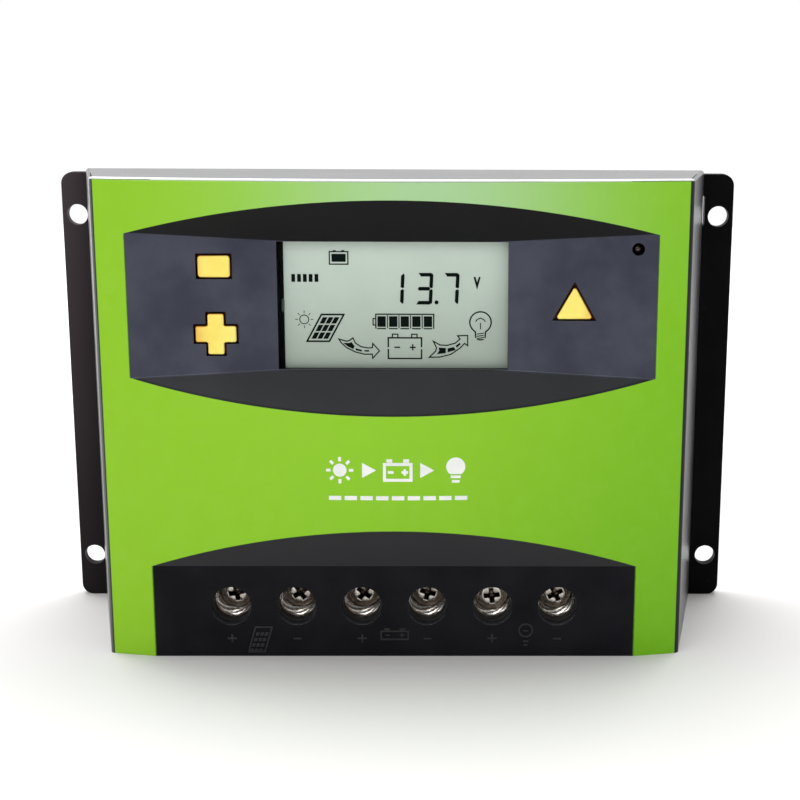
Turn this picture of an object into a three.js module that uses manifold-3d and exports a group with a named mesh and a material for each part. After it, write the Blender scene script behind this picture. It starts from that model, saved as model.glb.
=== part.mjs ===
// Solar charge controller: aluminium back plate, moulded cover with a display
// recess and a terminal recess, two circuit boards, six screw-clamp terminals.
// Millimetres. +X to the right of the face, +Z up, the face looks along -Y.
// Depths are measured forwards from the front face of the back plate.
import * as THREE from 'three';
import { mergeVertices } from 'three/addons/utils/BufferGeometryUtils.js';
import Module from 'manifold-3d';

const wasm = await Module();
wasm.setup();

// ---- driving dimensions -------------------------------------------------
const PLATE_W = 188;
const PLATE_H = 124;
const PLATE_T = 3;
const PLATE_R = 3.2;
const MOUNT_X = 89.9;
const MOUNT_Z = [12.2, 112.2];
const MOUNT_D = 5.8;
const SEAM_SLOT = { x: 84.5, z: 113.8, w: 2.8, h: 8.2 };

const APEX = 53.7;
const BULGE_R = 362.5;
const FACE_X = 75;
const EDGE_X = 76.2;
const EDGE_DEPTH = 44.6;
const REAR_LEFT = 86.9;
const REAR_RIGHT = 85.4;
const TOP_FRONT = 127.1;
const TOP_REAR = 125.1;
const EDGE_ROUND = 0.9;
const WALL = 2.2;
const SEAT = 0.2;
const GAP = 0.3;

const PANEL_X = 67.66;
const PANEL_DEPTH = 47.32;
const WINDOW_X = 29.43;
const WINDOW_Z = [77.73, 110.71];
const WINDOW_DEPTH = 45.83;
const DISPLAY_TOP = { z: 116.7, slope: 1.44 };
const DISPLAY_LOW = { z: 72.07, slope: -1.36 };
const TERMINAL_TOP = { z: 29.28, slope: 2.02 };
const TERMINAL_DEPTH = 48;

const POST_PITCH = 17.28;
const POST_COUNT = 6;
const POST_Z = 14.1;
const ACCESS_D = 10.55;
const RING_D = 9.9;
const POST_D = 13.2;
const POST_FRONT = 42;
const POST_REAR = 14;
const BORE_D = 9.2;
const WIRE_DEPTH = 25.2;
const WIRE_D = 8.4;
const WIRE_ENTRY_D = 10;
const SCREW_D = 8.6;
const SCREW_FACE_D = 6.4;
const SCREW_LEN = 6.4;
const SCREW_DEPTHS = [37.8, 37.6, 37.8, 37.4, 39.8, 38.6];
const PAD_T = 1.4;

const MINUS = { x: -45.2, z: 104.44, w: 8.1, h: 5.5 };
const PLUS = { x: -45.15, z: 87.04, w: 10.36, h: 10.44, arm: 4.1 };
const ARROW = { x: 46.3, base: 91.2, apex: 99.67, w: 9.52 };
const BUTTON_GAP = 0.55;
const BUTTON_PROUD = 0.5;
const BUTTON_TRAVEL = 0.8;
const LED = { x: 62.16, z: 109.12, d: 3.25 };

const GLASS = { x: [-28, 31.6], z: [76.2, 113.6], depth: [43.3, 41.5] };
const LIGHT = { x: [-29.2, 32.6], z: [75, 114.6], depth: [41.3, 37.5] };
const FACE_BOARD = { x: [-56, 66.5], z: [71.5, 118.5], depth: [37.2, 35.6] };
const POWER_BOARD = { x: [-67, 67], z: [5, 75], depth: [9.6, 8] };
const STANDOFF_XZ = [[-62, 30], [62, 30], [-62, 70], [62, 70]];
const STANDOFF_D = 7;
const CASE_SCREW_XZ = [[-77.5, 8.5], [77.5, 8.5], [-77.5, 116.5], [77.5, 116.5]];
const MOSFET_X = [-33, -11, 11, 33];
const MOSFET_Z = 90;
const BAR_SCREW_X = [-45, 45];
const BAR_DEPTH = [5.9, 8.4];

// ---- materials ----------------------------------------------------------
const FINISH = {
  anodised: [0x17171a, 0.45, 0.6],
  cover: [0x84c030, 0.42, 0],
  dark_plastic: [0x17171a, 0.5, 0],
  button: [0xf4d36a, 0.5, 0],
  nickel: [0xc9cbcc, 0.22, 1],
  zinc: [0xb4b6b8, 0.3, 1],
  glass: [0xb9c6b4, 0.12, 0],
  diffuser: [0xe8ecec, 0.5, 0],
  board: [0x1d5a34, 0.5, 0],
  epoxy: [0x1b1b1d, 0.55, 0],
  pad: [0x9aa4ae, 0.8, 0],
  sleeve: [0x23304f, 0.4, 0],
  fuse: [0xd97a22, 0.35, 0],
  lens: [0x2d3a30, 0.2, 0],
};

// ---- helpers ------------------------------------------------------------
const y = (depth) => 0.5 * (APEX - PLATE_T) - depth;

function solid(geometry) {
  const bare = geometry.clone();
  bare.deleteAttribute('normal');
  bare.deleteAttribute('uv');
  const merged = mergeVertices(bare, 1e-4);
  return new wasm.Manifold(new wasm.Mesh({
    numProp: 3,
    vertProperties: new Float32Array(merged.attributes.position.array),
    triVerts: new Uint32Array(merged.index.array),
  }));
}

function extrude(outline, length) {
  const shape = new THREE.Shape(outline.map((p) => new THREE.Vector2(p[0], p[1])));
  return new THREE.ExtrudeGeometry(shape, { depth: length, bevelEnabled: false, steps: 1 });
}

// outline in [x, depth], raised between two heights
function upright(outline, z0, z1) {
  const g = extrude(outline.map((p) => [p[0], y(p[1])]), z1 - z0);
  g.translate(0, 0, z0);
  return solid(g);
}

// outline in [depth, z], run sideways between two x
function sideways(outline, x0, x1) {
  const g = extrude(outline.map((p) => [y(p[0]), p[1]]), x1 - x0);
  g.applyMatrix4(new THREE.Matrix4().set(0, 0, 1, x0, 1, 0, 0, 0, 0, 1, 0, 0, 0, 0, 0, 1));
  return solid(g);
}

// outline in [x, z], run from one depth to a greater one
function forwards(outline, near, far) {
  const g = extrude(outline, far - near);
  g.applyMatrix4(new THREE.Matrix4().set(1, 0, 0, 0, 0, 0, -1, y(near), 0, 1, 0, 0, 0, 0, 0, 1));
  return solid(g);
}

function block(xs, zs, depths) {
  const near = Math.min(depths[0], depths[1]);
  const far = Math.max(depths[0], depths[1]);
  return forwards([[xs[0], zs[0]], [xs[1], zs[0]], [xs[1], zs[1]], [xs[0], zs[1]]], near, far);
}

// turned piece on an axis that runs forwards; profile in [radius, depth]
function turned(profile, x, z, sides = 32) {
  const g = new THREE.LatheGeometry(profile.map((p) => new THREE.Vector2(p[0], p[1])), sides);
  g.applyMatrix4(new THREE.Matrix4().set(1, 0, 0, x, 0, -1, 0, y(0), 0, 0, -1, z, 0, 0, 0, 1));
  return solid(g);
}

function rod(x, z, diameter, near, far, sides = 32) {
  const g = new THREE.CylinderGeometry(diameter / 2, diameter / 2, far - near, sides);
  g.translate(x, y(0.5 * (near + far)), z);
  return solid(g);
}

function riser(x, depth, diameter, z0, z1, sides = 32) {
  const g = new THREE.CylinderGeometry(diameter / 2, diameter / 2, z1 - z0, sides);
  g.rotateX(Math.PI / 2);
  g.translate(x, y(depth), 0.5 * (z0 + z1));
  return solid(g);
}

function roundedRect(cx, cz, w, h, r, steps = 5) {
  const points = [];
  for (const [sx, sz, start] of [[1, 1, 0], [-1, 1, 90], [-1, -1, 180], [1, -1, 270]]) {
    for (let i = 0; i <= steps; i += 1) {
      const a = THREE.MathUtils.degToRad(start + (90 * i) / steps);
      points.push([cx + sx * (w / 2 - r) + r * Math.cos(a), cz + sz * (h / 2 - r) + r * Math.sin(a)]);
    }
  }
  return points;
}

// convex or concave polygon grown outwards by an even margin, corners mitred
function grown(outline, margin) {
  return outline.map((p, i) => {
    const a = outline[(i + outline.length - 1) % outline.length];
    const b = outline[(i + 1) % outline.length];
    const u = new THREE.Vector2(p[0] - a[0], p[1] - a[1]).normalize();
    const v = new THREE.Vector2(b[0] - p[0], b[1] - p[1]).normalize();
    const n = new THREE.Vector2(u.y + v.y, -u.x - v.x);
    n.multiplyScalar(margin / (1 + u.dot(v)));
    return [p[0] + n.x, p[1] + n.y];
  });
}

const joined = (pieces) => pieces.reduce((a, b) => a.add(b));
const lineZ = (line, depth) => line.z + line.slope * (depth - 50);
const bulge = (x) => APEX - BULGE_R + Math.sqrt(BULGE_R * BULGE_R - x * x);
const postX = (i) => (i - (POST_COUNT - 1) / 2) * POST_PITCH;

const group = new THREE.Group();

function place(name, body, finish) {
  const out = body.getMesh();
  const g = new THREE.BufferGeometry();
  g.setAttribute('position', new THREE.BufferAttribute(new Float32Array(out.vertProperties), 3));
  g.setIndex(new THREE.BufferAttribute(new Uint32Array(out.triVerts), 1));
  g.computeVertexNormals();
  const [color, roughness, metalness] = FINISH[finish];
  const mesh = new THREE.Mesh(g, new THREE.MeshStandardMaterial({ color, roughness, metalness }));
  mesh.name = name;
  group.add(mesh);
}

// ---- back plate ---------------------------------------------------------
function backPlate() {
  let plate = forwards(roundedRect(0, PLATE_H / 2, PLATE_W, PLATE_H, PLATE_R), -PLATE_T, 0);
  for (const [x, z] of STANDOFF_XZ) {
    plate = plate.add(rod(x, z, STANDOFF_D, -0.5, POWER_BOARD.depth[1] - GAP, 20));
  }
  for (const [x, z] of STANDOFF_XZ) {
    plate = plate.subtract(rod(x, z, 3.3, 0.5, 12, 16));
  }
  for (const z of MOUNT_Z) {
    for (const side of [-1, 1]) {
      plate = plate.subtract(rod(side * MOUNT_X, z, MOUNT_D, -4, 1, 40));
    }
  }
  for (const [x, z] of CASE_SCREW_XZ) {
    plate = plate.subtract(rod(x, z, 3.7, -4, 1, 24));
    plate = plate.subtract(turned([[0, -3.4], [3.9, -3.4], [3.9, -3.0], [1.8, -0.9], [0, -0.9]], x, z, 24));
  }
  for (const x of BAR_SCREW_X) {
    plate = plate.subtract(rod(x, MOSFET_Z - 0.2, 3.3, -2.2, 1, 16));
  }
  const slot = [];
  for (let i = 0; i < 24; i += 1) {
    const a = (2 * Math.PI * i) / 24;
    slot.push([SEAM_SLOT.x + 0.5 * SEAM_SLOT.w * Math.cos(a), SEAM_SLOT.z + 0.5 * SEAM_SLOT.h * Math.sin(a)]);
  }
  return plate.subtract(forwards(slot, -4, 1));
}

// ---- moulded cover ------------------------------------------------------
function coverPlan(inset) {
  const edge = [];
  edge.push([EDGE_X - inset, EDGE_DEPTH - 0.4 * inset]);
  for (const a of [30, 60]) {
    const t = THREE.MathUtils.degToRad(a);
    const x = FACE_X + (EDGE_X - FACE_X) * Math.cos(t) - inset;
    edge.push([x, EDGE_DEPTH + (bulge(FACE_X) - EDGE_DEPTH) * Math.sin(t) - inset]);
  }
  const front = [];
  const count = 44;
  for (let i = 0; i <= count; i += 1) {
    const x = FACE_X - (2 * FACE_X * i) / count;
    const k = 1 - inset / FACE_X;
    front.push([x * k, bulge(x) - inset]);
  }
  const mirrored = edge.map((p) => [-p[0], p[1]]).reverse();
  const right = [REAR_RIGHT - inset, SEAT];
  const left = [inset - REAR_LEFT, SEAT];
  return [right, ...edge, ...front, ...mirrored, left];
}

// closed body through rings that share one plan order; ring points [x, depth, z]
function loft(rings) {
  const n = rings[0].length;
  const position = [];
  for (const ring of rings) {
    for (const p of ring) {
      position.push(p[0], y(p[1]), p[2]);
    }
  }
  const index = [];
  for (let r = 0; r + 1 < rings.length; r += 1) {
    for (let i = 0; i < n; i += 1) {
      const j = (i + 1) % n;
      const a = r * n + i;
      const b = r * n + j;
      index.push(a, a + n, b, b, a + n, b + n);
    }
  }
  const flat = rings[0].map((p) => new THREE.Vector2(p[0], y(p[1])));
  const top = (rings.length - 1) * n;
  for (const [a, b, c] of THREE.ShapeUtils.triangulateShape(flat, [])) {
    index.push(a, c, b);
    index.push(top + a, top + b, top + c);
  }
  const g = new THREE.BufferGeometry();
  g.setAttribute('position', new THREE.Float32BufferAttribute(position, 3));
  g.setIndex(index);
  return solid(g);
}

function coverOuter() {
  const slope = (TOP_FRONT - TOP_REAR) / APEX;
  const rings = [coverPlan(0).map((p) => [p[0], p[1], 0])];
  for (const a of [0, 30, 60, 90]) {
    const t = THREE.MathUtils.degToRad(a);
    const plan = coverPlan(EDGE_ROUND * (1 - Math.cos(t)));
    const drop = EDGE_ROUND * (1 - Math.sin(t));
    rings.push(plan.map((p) => [p[0], p[1], TOP_REAR + slope * p[1] - drop]));
  }
  return loft(rings);
}

function displayRecess(grow) {
  const floor = WINDOW_DEPTH - grow;
  const out = 70;
  const up = (depth) => lineZ(DISPLAY_TOP, depth) + grow * Math.hypot(1, DISPLAY_TOP.slope);
  const low = (depth) => lineZ(DISPLAY_LOW, depth) - grow * Math.hypot(1, DISPLAY_LOW.slope);
  const side = [[floor, low(floor)], [out, low(out)], [out, up(out)], [floor, up(floor)]];
  const rise = (PANEL_DEPTH - WINDOW_DEPTH) / (PANEL_X - WINDOW_X);
  const far = 84;
  const wing = floor + rise * (far - WINDOW_X);
  const plan = [[-far, out], [-far, wing], [-WINDOW_X, floor], [WINDOW_X, floor], [far, wing], [far, out]];
  return sideways(side, -far, far).intersect(upright(plan, 0, 200));
}

function terminalRecess(grow) {
  const floor = TERMINAL_DEPTH - grow;
  const out = 70;
  const up = (depth) => lineZ(TERMINAL_TOP, depth) + grow * Math.hypot(1, TERMINAL_TOP.slope);
  return sideways([[floor, -5], [out, -5], [out, up(out)], [floor, up(floor)]], -84, 84);
}

function cross(s, margin) {
  const a = s.arm / 2 + margin;
  const w = s.w / 2 + margin;
  const h = s.h / 2 + margin;
  const quarter = [[a, h], [a, a], [w, a]];
  const right = [...quarter.map((p) => [p[0], -p[1]]), ...quarter.slice().reverse()];
  const left = right.map((p) => [-p[0], p[1]]).reverse();
  return [...right, ...left].map((p) => [s.x + p[0], s.z + p[1]]);
}

function arrow(margin) {
  const half = ARROW.w / 2;
  const base = [[ARROW.x - half, ARROW.base], [ARROW.x + half, ARROW.base], [ARROW.x, ARROW.apex]];
  return grown(base, margin);
}

const wingDepth = (x) => WINDOW_DEPTH
  + ((PANEL_DEPTH - WINDOW_DEPTH) * (Math.abs(x) - WINDOW_X)) / (PANEL_X - WINDOW_X);

function bar(margin) {
  return roundedRect(MINUS.x, MINUS.z, MINUS.w + 2 * margin, MINUS.h + 2 * margin, 0.6);
}

const BUTTONS = [
  ['button_minus', MINUS.x, (m) => bar(m), MINUS.z],
  ['button_plus', PLUS.x, (m) => cross(PLUS, m), PLUS.z],
  ['button_load', ARROW.x, (m) => arrow(m), ARROW.base + 3.6],
];

function frontCover() {
  const outer = coverOuter();
  const inner = [];
  inner.push([REAR_RIGHT - WALL - 0.1, -3]);
  inner.push([EDGE_X - WALL - 0.2, EDGE_DEPTH - WALL + 0.6]);
  for (let i = 0; i <= 28; i += 1) {
    const x = (FACE_X - WALL - 0.2) * (1 - (2 * i) / 28);
    inner.push([x, bulge(x) - WALL - 0.1]);
  }
  inner.push([-(EDGE_X - WALL - 0.2), EDGE_DEPTH - WALL + 0.6]);
  inner.push([-(REAR_LEFT - WALL - 0.1), -3]);
  let hollow = upright(inner, WALL, TOP_REAR - WALL);
  hollow = hollow.subtract(displayRecess(WALL)).subtract(terminalRecess(WALL));
  let bosses = rod(...CASE_SCREW_XZ[0], 9, SEAT, 48, 24);
  for (const [x, z] of CASE_SCREW_XZ.slice(1)) {
    bosses = bosses.add(rod(x, z, 9, SEAT, 48, 24));
  }
  for (const x of [-50, 61]) {
    for (const z of [76, 115]) {
      bosses = bosses.add(rod(x, z, 4.6, FACE_BOARD.depth[0] + GAP, 46, 20));
      bosses = bosses.add(rod(x, z, 2.2, FACE_BOARD.depth[1] - 1.2, 46, 16));
    }
  }
  let cover = outer.subtract(hollow).add(bosses.intersect(outer));
  cover = cover.subtract(displayRecess(0)).subtract(terminalRecess(0));
  cover = cover.subtract(block([-WINDOW_X, WINDOW_X], WINDOW_Z, [40, 47]));
  for (const [, , outline] of BUTTONS) {
    cover = cover.subtract(forwards(outline(BUTTON_GAP), 40, 52));
  }
  cover = cover.subtract(rod(LED.x, LED.z, LED.d, 40, 52, 28));
  for (let i = 0; i < POST_COUNT; i += 1) {
    cover = cover.subtract(rod(postX(i), POST_Z, ACCESS_D, 44, 52, 44));
    cover = cover.subtract(riser(postX(i), WIRE_DEPTH, WIRE_ENTRY_D, -1, WALL + 1, 32));
  }
  for (const [x, z] of CASE_SCREW_XZ) {
    cover = cover.subtract(rod(x, z, 3.2, -1, 14, 16));
  }
  return cover;
}

// ---- screw-clamp terminals ----------------------------------------------
function terminalHousing() {
  const half = postX(POST_COUNT - 1) + POST_PITCH / 2 + 1;
  let body = block([-half, half], [WALL + GAP, 24], [POST_REAR - 2, TERMINAL_DEPTH - WALL - GAP]);
  for (let i = 0; i < POST_COUNT; i += 1) {
    body = body.subtract(rod(postX(i), POST_Z, RING_D, 40, 47, 40));
    body = body.subtract(rod(postX(i), POST_Z, POST_D + 0.7, POST_REAR - 3, POST_FRONT + GAP, 36));
    body = body.subtract(riser(postX(i), WIRE_DEPTH, WIRE_ENTRY_D - 0.6, 0, POST_Z, 32));
  }
  return body;
}

function terminalPost(i) {
  const x = postX(i);
  const edge = 0.5;
  const r = POST_D / 2;
  let post = turned([
    [0, POST_REAR],
    [r, POST_REAR],
    [r, POST_FRONT - edge],
    [r - edge, POST_FRONT],
    [0, POST_FRONT],
  ], x, POST_Z, 36);
  post = post.add(rod(x, POST_Z, 4.2, POWER_BOARD.depth[1] - 1.4, POST_REAR + 1, 20));
  const floor = WIRE_DEPTH - WIRE_D / 2;
  post = post.subtract(turned([
    [0, floor],
    [BORE_D / 2, floor],
    [BORE_D / 2, POST_FRONT - 0.4],
    [BORE_D / 2 + 0.6, POST_FRONT + 0.2],
    [0, POST_FRONT + 0.2],
  ], x, POST_Z, 36));
  return post.subtract(riser(x, WIRE_DEPTH, WIRE_D, 0, POST_Z, 32));
}

function setScrew(i) {
  const x = postX(i);
  const face = SCREW_DEPTHS[i];
  const tip = face - SCREW_LEN;
  const r = SCREW_D / 2;
  let screw = turned([
    [0, tip],
    [r - 0.8, tip],
    [r, tip + 0.8],
    [r, face - (r - SCREW_FACE_D / 2)],
    [SCREW_FACE_D / 2, face],
    [0, face],
  ], x, POST_Z, 32);
  for (const quarter of [0, 1]) {
    const w = quarter ? 4.6 : 0.95;
    const h = quarter ? 0.95 : 4.6;
    const slot = forwards(roundedRect(0, 0, w, h, 0.2, 2), face - 2.6, face + 1);
    screw = screw.subtract(slot.rotate([0, 12 + 21 * i, 0]).translate([x, 0, POST_Z]));
  }
  return screw;
}

function clampPad(i) {
  const near = SCREW_DEPTHS[i] - SCREW_LEN - GAP - PAD_T;
  return rod(postX(i), POST_Z, BORE_D - 0.8, near, near + PAD_T, 28);
}

// ---- boards and parts on them -------------------------------------------
function powerBoard() {
  let board = block(POWER_BOARD.x, POWER_BOARD.z, POWER_BOARD.depth);
  for (const [x, z] of STANDOFF_XZ) {
    board = board.subtract(rod(x, z, 3.5, 0, 20, 16));
  }
  for (let i = 0; i < POST_COUNT; i += 1) {
    board = board.subtract(rod(postX(i), POST_Z, 4.9, 0, 20, 20));
  }
  return board;
}

function faceBoard() {
  let board = block(FACE_BOARD.x, FACE_BOARD.z, FACE_BOARD.depth);
  for (const x of [-50, 61]) {
    for (const z of [76, 115]) {
      board = board.subtract(rod(x, z, 2.8, 30, 40, 16));
    }
  }
  return board;
}

function panScrew(x, z, seat, diameter, length) {
  const r = diameter / 2;
  const head = r * 1.9;
  const body = turned([
    [0, seat - length],
    [r, seat - length],
    [r, seat],
    [head, seat],
    [head, seat + 1.2],
    [head - 0.7, seat + 2],
    [0, seat + 2],
  ], x, z, 20);
  const slot = block([x - 1.8, x + 1.8], [z - 0.35, z + 0.35], [seat + 1, seat + 3]);
  return body.subtract(slot).subtract(block([x - 0.35, x + 0.35], [z - 1.8, z + 1.8], [seat + 1, seat + 3]));
}

function caseScrew(x, z) {
  const body = turned([
    [0, -2.9],
    [3.1, -2.9],
    [1.45, -1.25],
    [1.45, 11],
    [0.7, 12.4],
    [0, 12.4],
  ], x, z, 20);
  const slot = block([x - 1.9, x + 1.9], [z - 0.35, z + 0.35], [-4, -2]);
  return body.subtract(slot).subtract(block([x - 0.35, x + 0.35], [z - 1.9, z + 1.9], [-4, -2]));
}

function mosfet(x) {
  const z = MOSFET_Z;
  const base = 1.2;
  let body = block([x - 5, x + 5], [z - 6, z + 3], [base, base + 4.4]);
  body = body.add(block([x - 5, x + 5], [z - 6, z + 9.2], [base, base + 1.3]));
  body = body.subtract(rod(x, z + 6.4, 3.6, 0, 4, 20));
  for (const k of [-1, 0, 1]) {
    const leg = x + 2.54 * k;
    body = body.add(block([leg - 0.4, leg + 0.4], [z - 19, z - 5.5], [base + 2.2, base + 2.8]));
  }
  return body;
}

function capacitor(x, z) {
  const seat = POWER_BOARD.depth[0] + GAP;
  return turned([
    [0, seat],
    [6.3, seat],
    [6.3, seat + 1.6],
    [5.9, seat + 2.2],
    [6.3, seat + 2.8],
    [6.3, seat + 24.4],
    [5.7, seat + 25],
    [0, seat + 25],
  ], x, z, 32);
}

function bladeFuse(x, z) {
  const seat = POWER_BOARD.depth[0] + GAP;
  let body = block([x - 9.4, x + 9.4], [z - 3.8, z + 3.8], [seat, seat + 8]);
  body = body.add(block([x - 8.2, x + 8.2], [z - 2.4, z + 2.4], [seat + 7.5, seat + 15]));
  body = body.add(block([x - 9.4, x + 9.4], [z - 2.4, z + 2.4], [seat + 12.2, seat + 15]));
  return body.subtract(block([x - 4, x + 4], [z - 1.1, z + 1.1], [seat + 13, seat + 16]));
}

function boardLink() {
  const from = POWER_BOARD.depth[0] + GAP;
  const to = FACE_BOARD.depth[1] - GAP;
  let body = block([-14, 14], [72.2, 74.6], [from, to]);
  body = body.add(block([-15, 15], [71.6, 75.2], [from, from + 8.5]));
  return body.add(block([-15, 15], [71.6, 75.2], [to - 3, to]));
}

function buttonCap(x, outline, z) {
  const face = wingDepth(x) + BUTTON_PROUD;
  const skin = wingDepth(x) - WALL;
  let cap = forwards(outline(0), skin - 1.2, face);
  cap = cap.add(forwards(outline(1.4), skin - 1.6, skin - GAP));
  const plunger = FACE_BOARD.depth[0] + GAP + 3.4;
  return cap.add(rod(x, z, 3.2, plunger + BUTTON_TRAVEL + 0.1, skin - 1, 20));
}

function tactSwitch(x, z) {
  const seat = FACE_BOARD.depth[0] + GAP;
  const body = block([x - 3, x + 3], [z - 3, z + 3], [seat, seat + 2.6]);
  return body.add(rod(x, z, 3, seat + 2.5, seat + 3.4, 20));
}

// ---- assembly -----------------------------------------------------------
place('back_plate', backPlate(), 'anodised');
place('front_cover', frontCover(), 'cover');
place('terminal_housing', terminalHousing(), 'dark_plastic');
for (let i = 0; i < POST_COUNT; i += 1) {
  place(`terminal_post_${i + 1}`, terminalPost(i), 'nickel');
  place(`terminal_screw_${i + 1}`, setScrew(i), 'zinc');
  place(`clamp_pad_${i + 1}`, clampPad(i), 'nickel');
}
place('power_board', powerBoard(), 'board');
place('face_board', faceBoard(), 'board');
STANDOFF_XZ.forEach(([x, z], i) => {
  place(`board_screw_${i + 1}`, panScrew(x, z, POWER_BOARD.depth[0] + GAP, 2.9, 8), 'zinc');
});
CASE_SCREW_XZ.forEach(([x, z], i) => {
  place(`case_screw_${i + 1}`, caseScrew(x, z), 'zinc');
});
place('thermal_pad', block([-42, 42], [MOSFET_Z - 8, MOSFET_Z + 10], [0.2, 0.9]), 'pad');
MOSFET_X.forEach((x, i) => {
  place(`mosfet_${i + 1}`, mosfet(x), 'epoxy');
});
let clamp = block([-50, 50], [MOSFET_Z - 3, MOSFET_Z + 2.6], BAR_DEPTH);
for (const x of BAR_SCREW_X) {
  clamp = clamp.subtract(rod(x, MOSFET_Z - 0.2, 3.5, 0, 12, 16));
}
place('mosfet_bar', clamp, 'anodised');
BAR_SCREW_X.forEach((x, i) => {
  place(`bar_screw_${i + 1}`, panScrew(x, MOSFET_Z - 0.2, BAR_DEPTH[1] + GAP, 2.9, 10), 'zinc');
});
place('capacitor_1', capacitor(-44, 52), 'sleeve');
place('capacitor_2', capacitor(-28, 52), 'sleeve');
place('fuse_1', bladeFuse(8, 46), 'fuse');
place('fuse_2', bladeFuse(8, 58), 'fuse');
const chipSeat = POWER_BOARD.depth[0] + GAP;
place('control_chip', block([34, 46], [44, 56], [chipSeat, chipSeat + 1.9]), 'epoxy');
place('board_link', boardLink(), 'dark_plastic');
place('lcd_backlight', block(LIGHT.x, LIGHT.z, LIGHT.depth), 'diffuser');
place('lcd_glass', block(GLASS.x, GLASS.z, GLASS.depth), 'glass');
for (const [name, x, outline, z] of BUTTONS) {
  place(name, buttonCap(x, outline, z), 'button');
  place(name.replace('button', 'switch'), tactSwitch(x, z), 'dark_plastic');
}
place('status_led', turned([
  [0, FACE_BOARD.depth[0] + GAP],
  [1.9, FACE_BOARD.depth[0] + GAP],
  [1.9, FACE_BOARD.depth[0] + 1.4],
  [1.45, FACE_BOARD.depth[0] + 1.4],
  [1.45, 44.6],
  [1.25, 45.3],
  [0.75, 45.8],
  [0, 46],
], LED.x, LED.z, 24), 'lens');

export default group;
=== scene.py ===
import math

import bmesh
import bpy
from mathutils import Matrix, Vector


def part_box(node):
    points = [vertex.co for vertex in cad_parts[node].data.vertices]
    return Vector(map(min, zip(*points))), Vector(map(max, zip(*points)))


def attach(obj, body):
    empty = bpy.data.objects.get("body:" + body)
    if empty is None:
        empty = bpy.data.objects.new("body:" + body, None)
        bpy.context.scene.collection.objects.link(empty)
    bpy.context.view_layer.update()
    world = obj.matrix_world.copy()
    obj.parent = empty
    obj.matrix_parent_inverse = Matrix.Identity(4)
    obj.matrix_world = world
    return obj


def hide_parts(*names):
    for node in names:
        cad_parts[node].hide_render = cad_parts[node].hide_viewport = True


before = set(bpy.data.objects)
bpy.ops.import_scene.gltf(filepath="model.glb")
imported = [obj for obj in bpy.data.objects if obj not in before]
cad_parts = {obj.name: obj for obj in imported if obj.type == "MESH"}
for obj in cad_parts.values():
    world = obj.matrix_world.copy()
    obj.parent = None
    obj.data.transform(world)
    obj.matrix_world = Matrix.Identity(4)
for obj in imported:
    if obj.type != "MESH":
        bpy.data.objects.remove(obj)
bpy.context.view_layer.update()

MM = 0.001
CASE = "case"

# Millimetres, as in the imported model. Depths run forwards from the plate's front face.
PLATE_T = 3.0
PLATE_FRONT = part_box("back_plate")[1][1] / MM - PLATE_T
APEX = 53.7
BULGE_R = 362.5
FACE_X = 75.0
EDGE_X = 76.2
EDGE_DEPTH = 44.6
REAR_LEFT = 86.9
REAR_RIGHT = 85.4
TOP_FRONT = 127.1
TOP_REAR = 125.1
EDGE_ROUND = 0.9
WALL = 2.2
JOIN = 1e-7  # metres: points this close are one point
WELD = 0.000012  # metres: the wider weld of the threaded tubes
SEAT = 0.2
PANEL_X = 67.66
PANEL_DEPTH = 47.32
WINDOW_X = 29.43
WINDOW_Z = (77.73, 110.71)
WINDOW_DEPTH = 45.83
DISPLAY_TOP = (116.7, 1.44)
DISPLAY_LOW = (72.07, -1.36)
TERMINAL_TOP = (29.28, 2.02)
TERMINAL_DEPTH = 48.0
POST_PITCH = 17.28
POST_COUNT = 6
POST_Z = 14.1
ACCESS_D = 10.55
WIRE_DEPTH = 25.2
WIRE_ENTRY_D = 10.0
SCREW_DEPTHS = (37.8, 37.6, 37.8, 37.4, 39.8, 38.6)
MINUS = (-45.2, 104.44, 8.1, 5.5)
PLUS = (-45.15, 87.04, 10.36, 10.44, 4.1)
ARROW = (46.3, 91.2, 99.67, 9.52)
BUTTON_GAP = 0.55
BUTTON_PROUD = 0.5
LED = (62.16, 109.12, 3.25)


def y_of(depth):
    return PLATE_FRONT - depth


def post_x(i):
    return (i - (POST_COUNT - 1) / 2) * POST_PITCH


def bulge(x):
    return APEX - BULGE_R + math.sqrt(BULGE_R * BULGE_R - x * x)


def line_z(line, depth):
    return line[0] + line[1] * (depth - 50)


def wing_depth(x):
    return WINDOW_DEPTH + (PANEL_DEPTH - WINDOW_DEPTH) * (abs(x) - WINDOW_X) / (PANEL_X - WINDOW_X)


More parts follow.
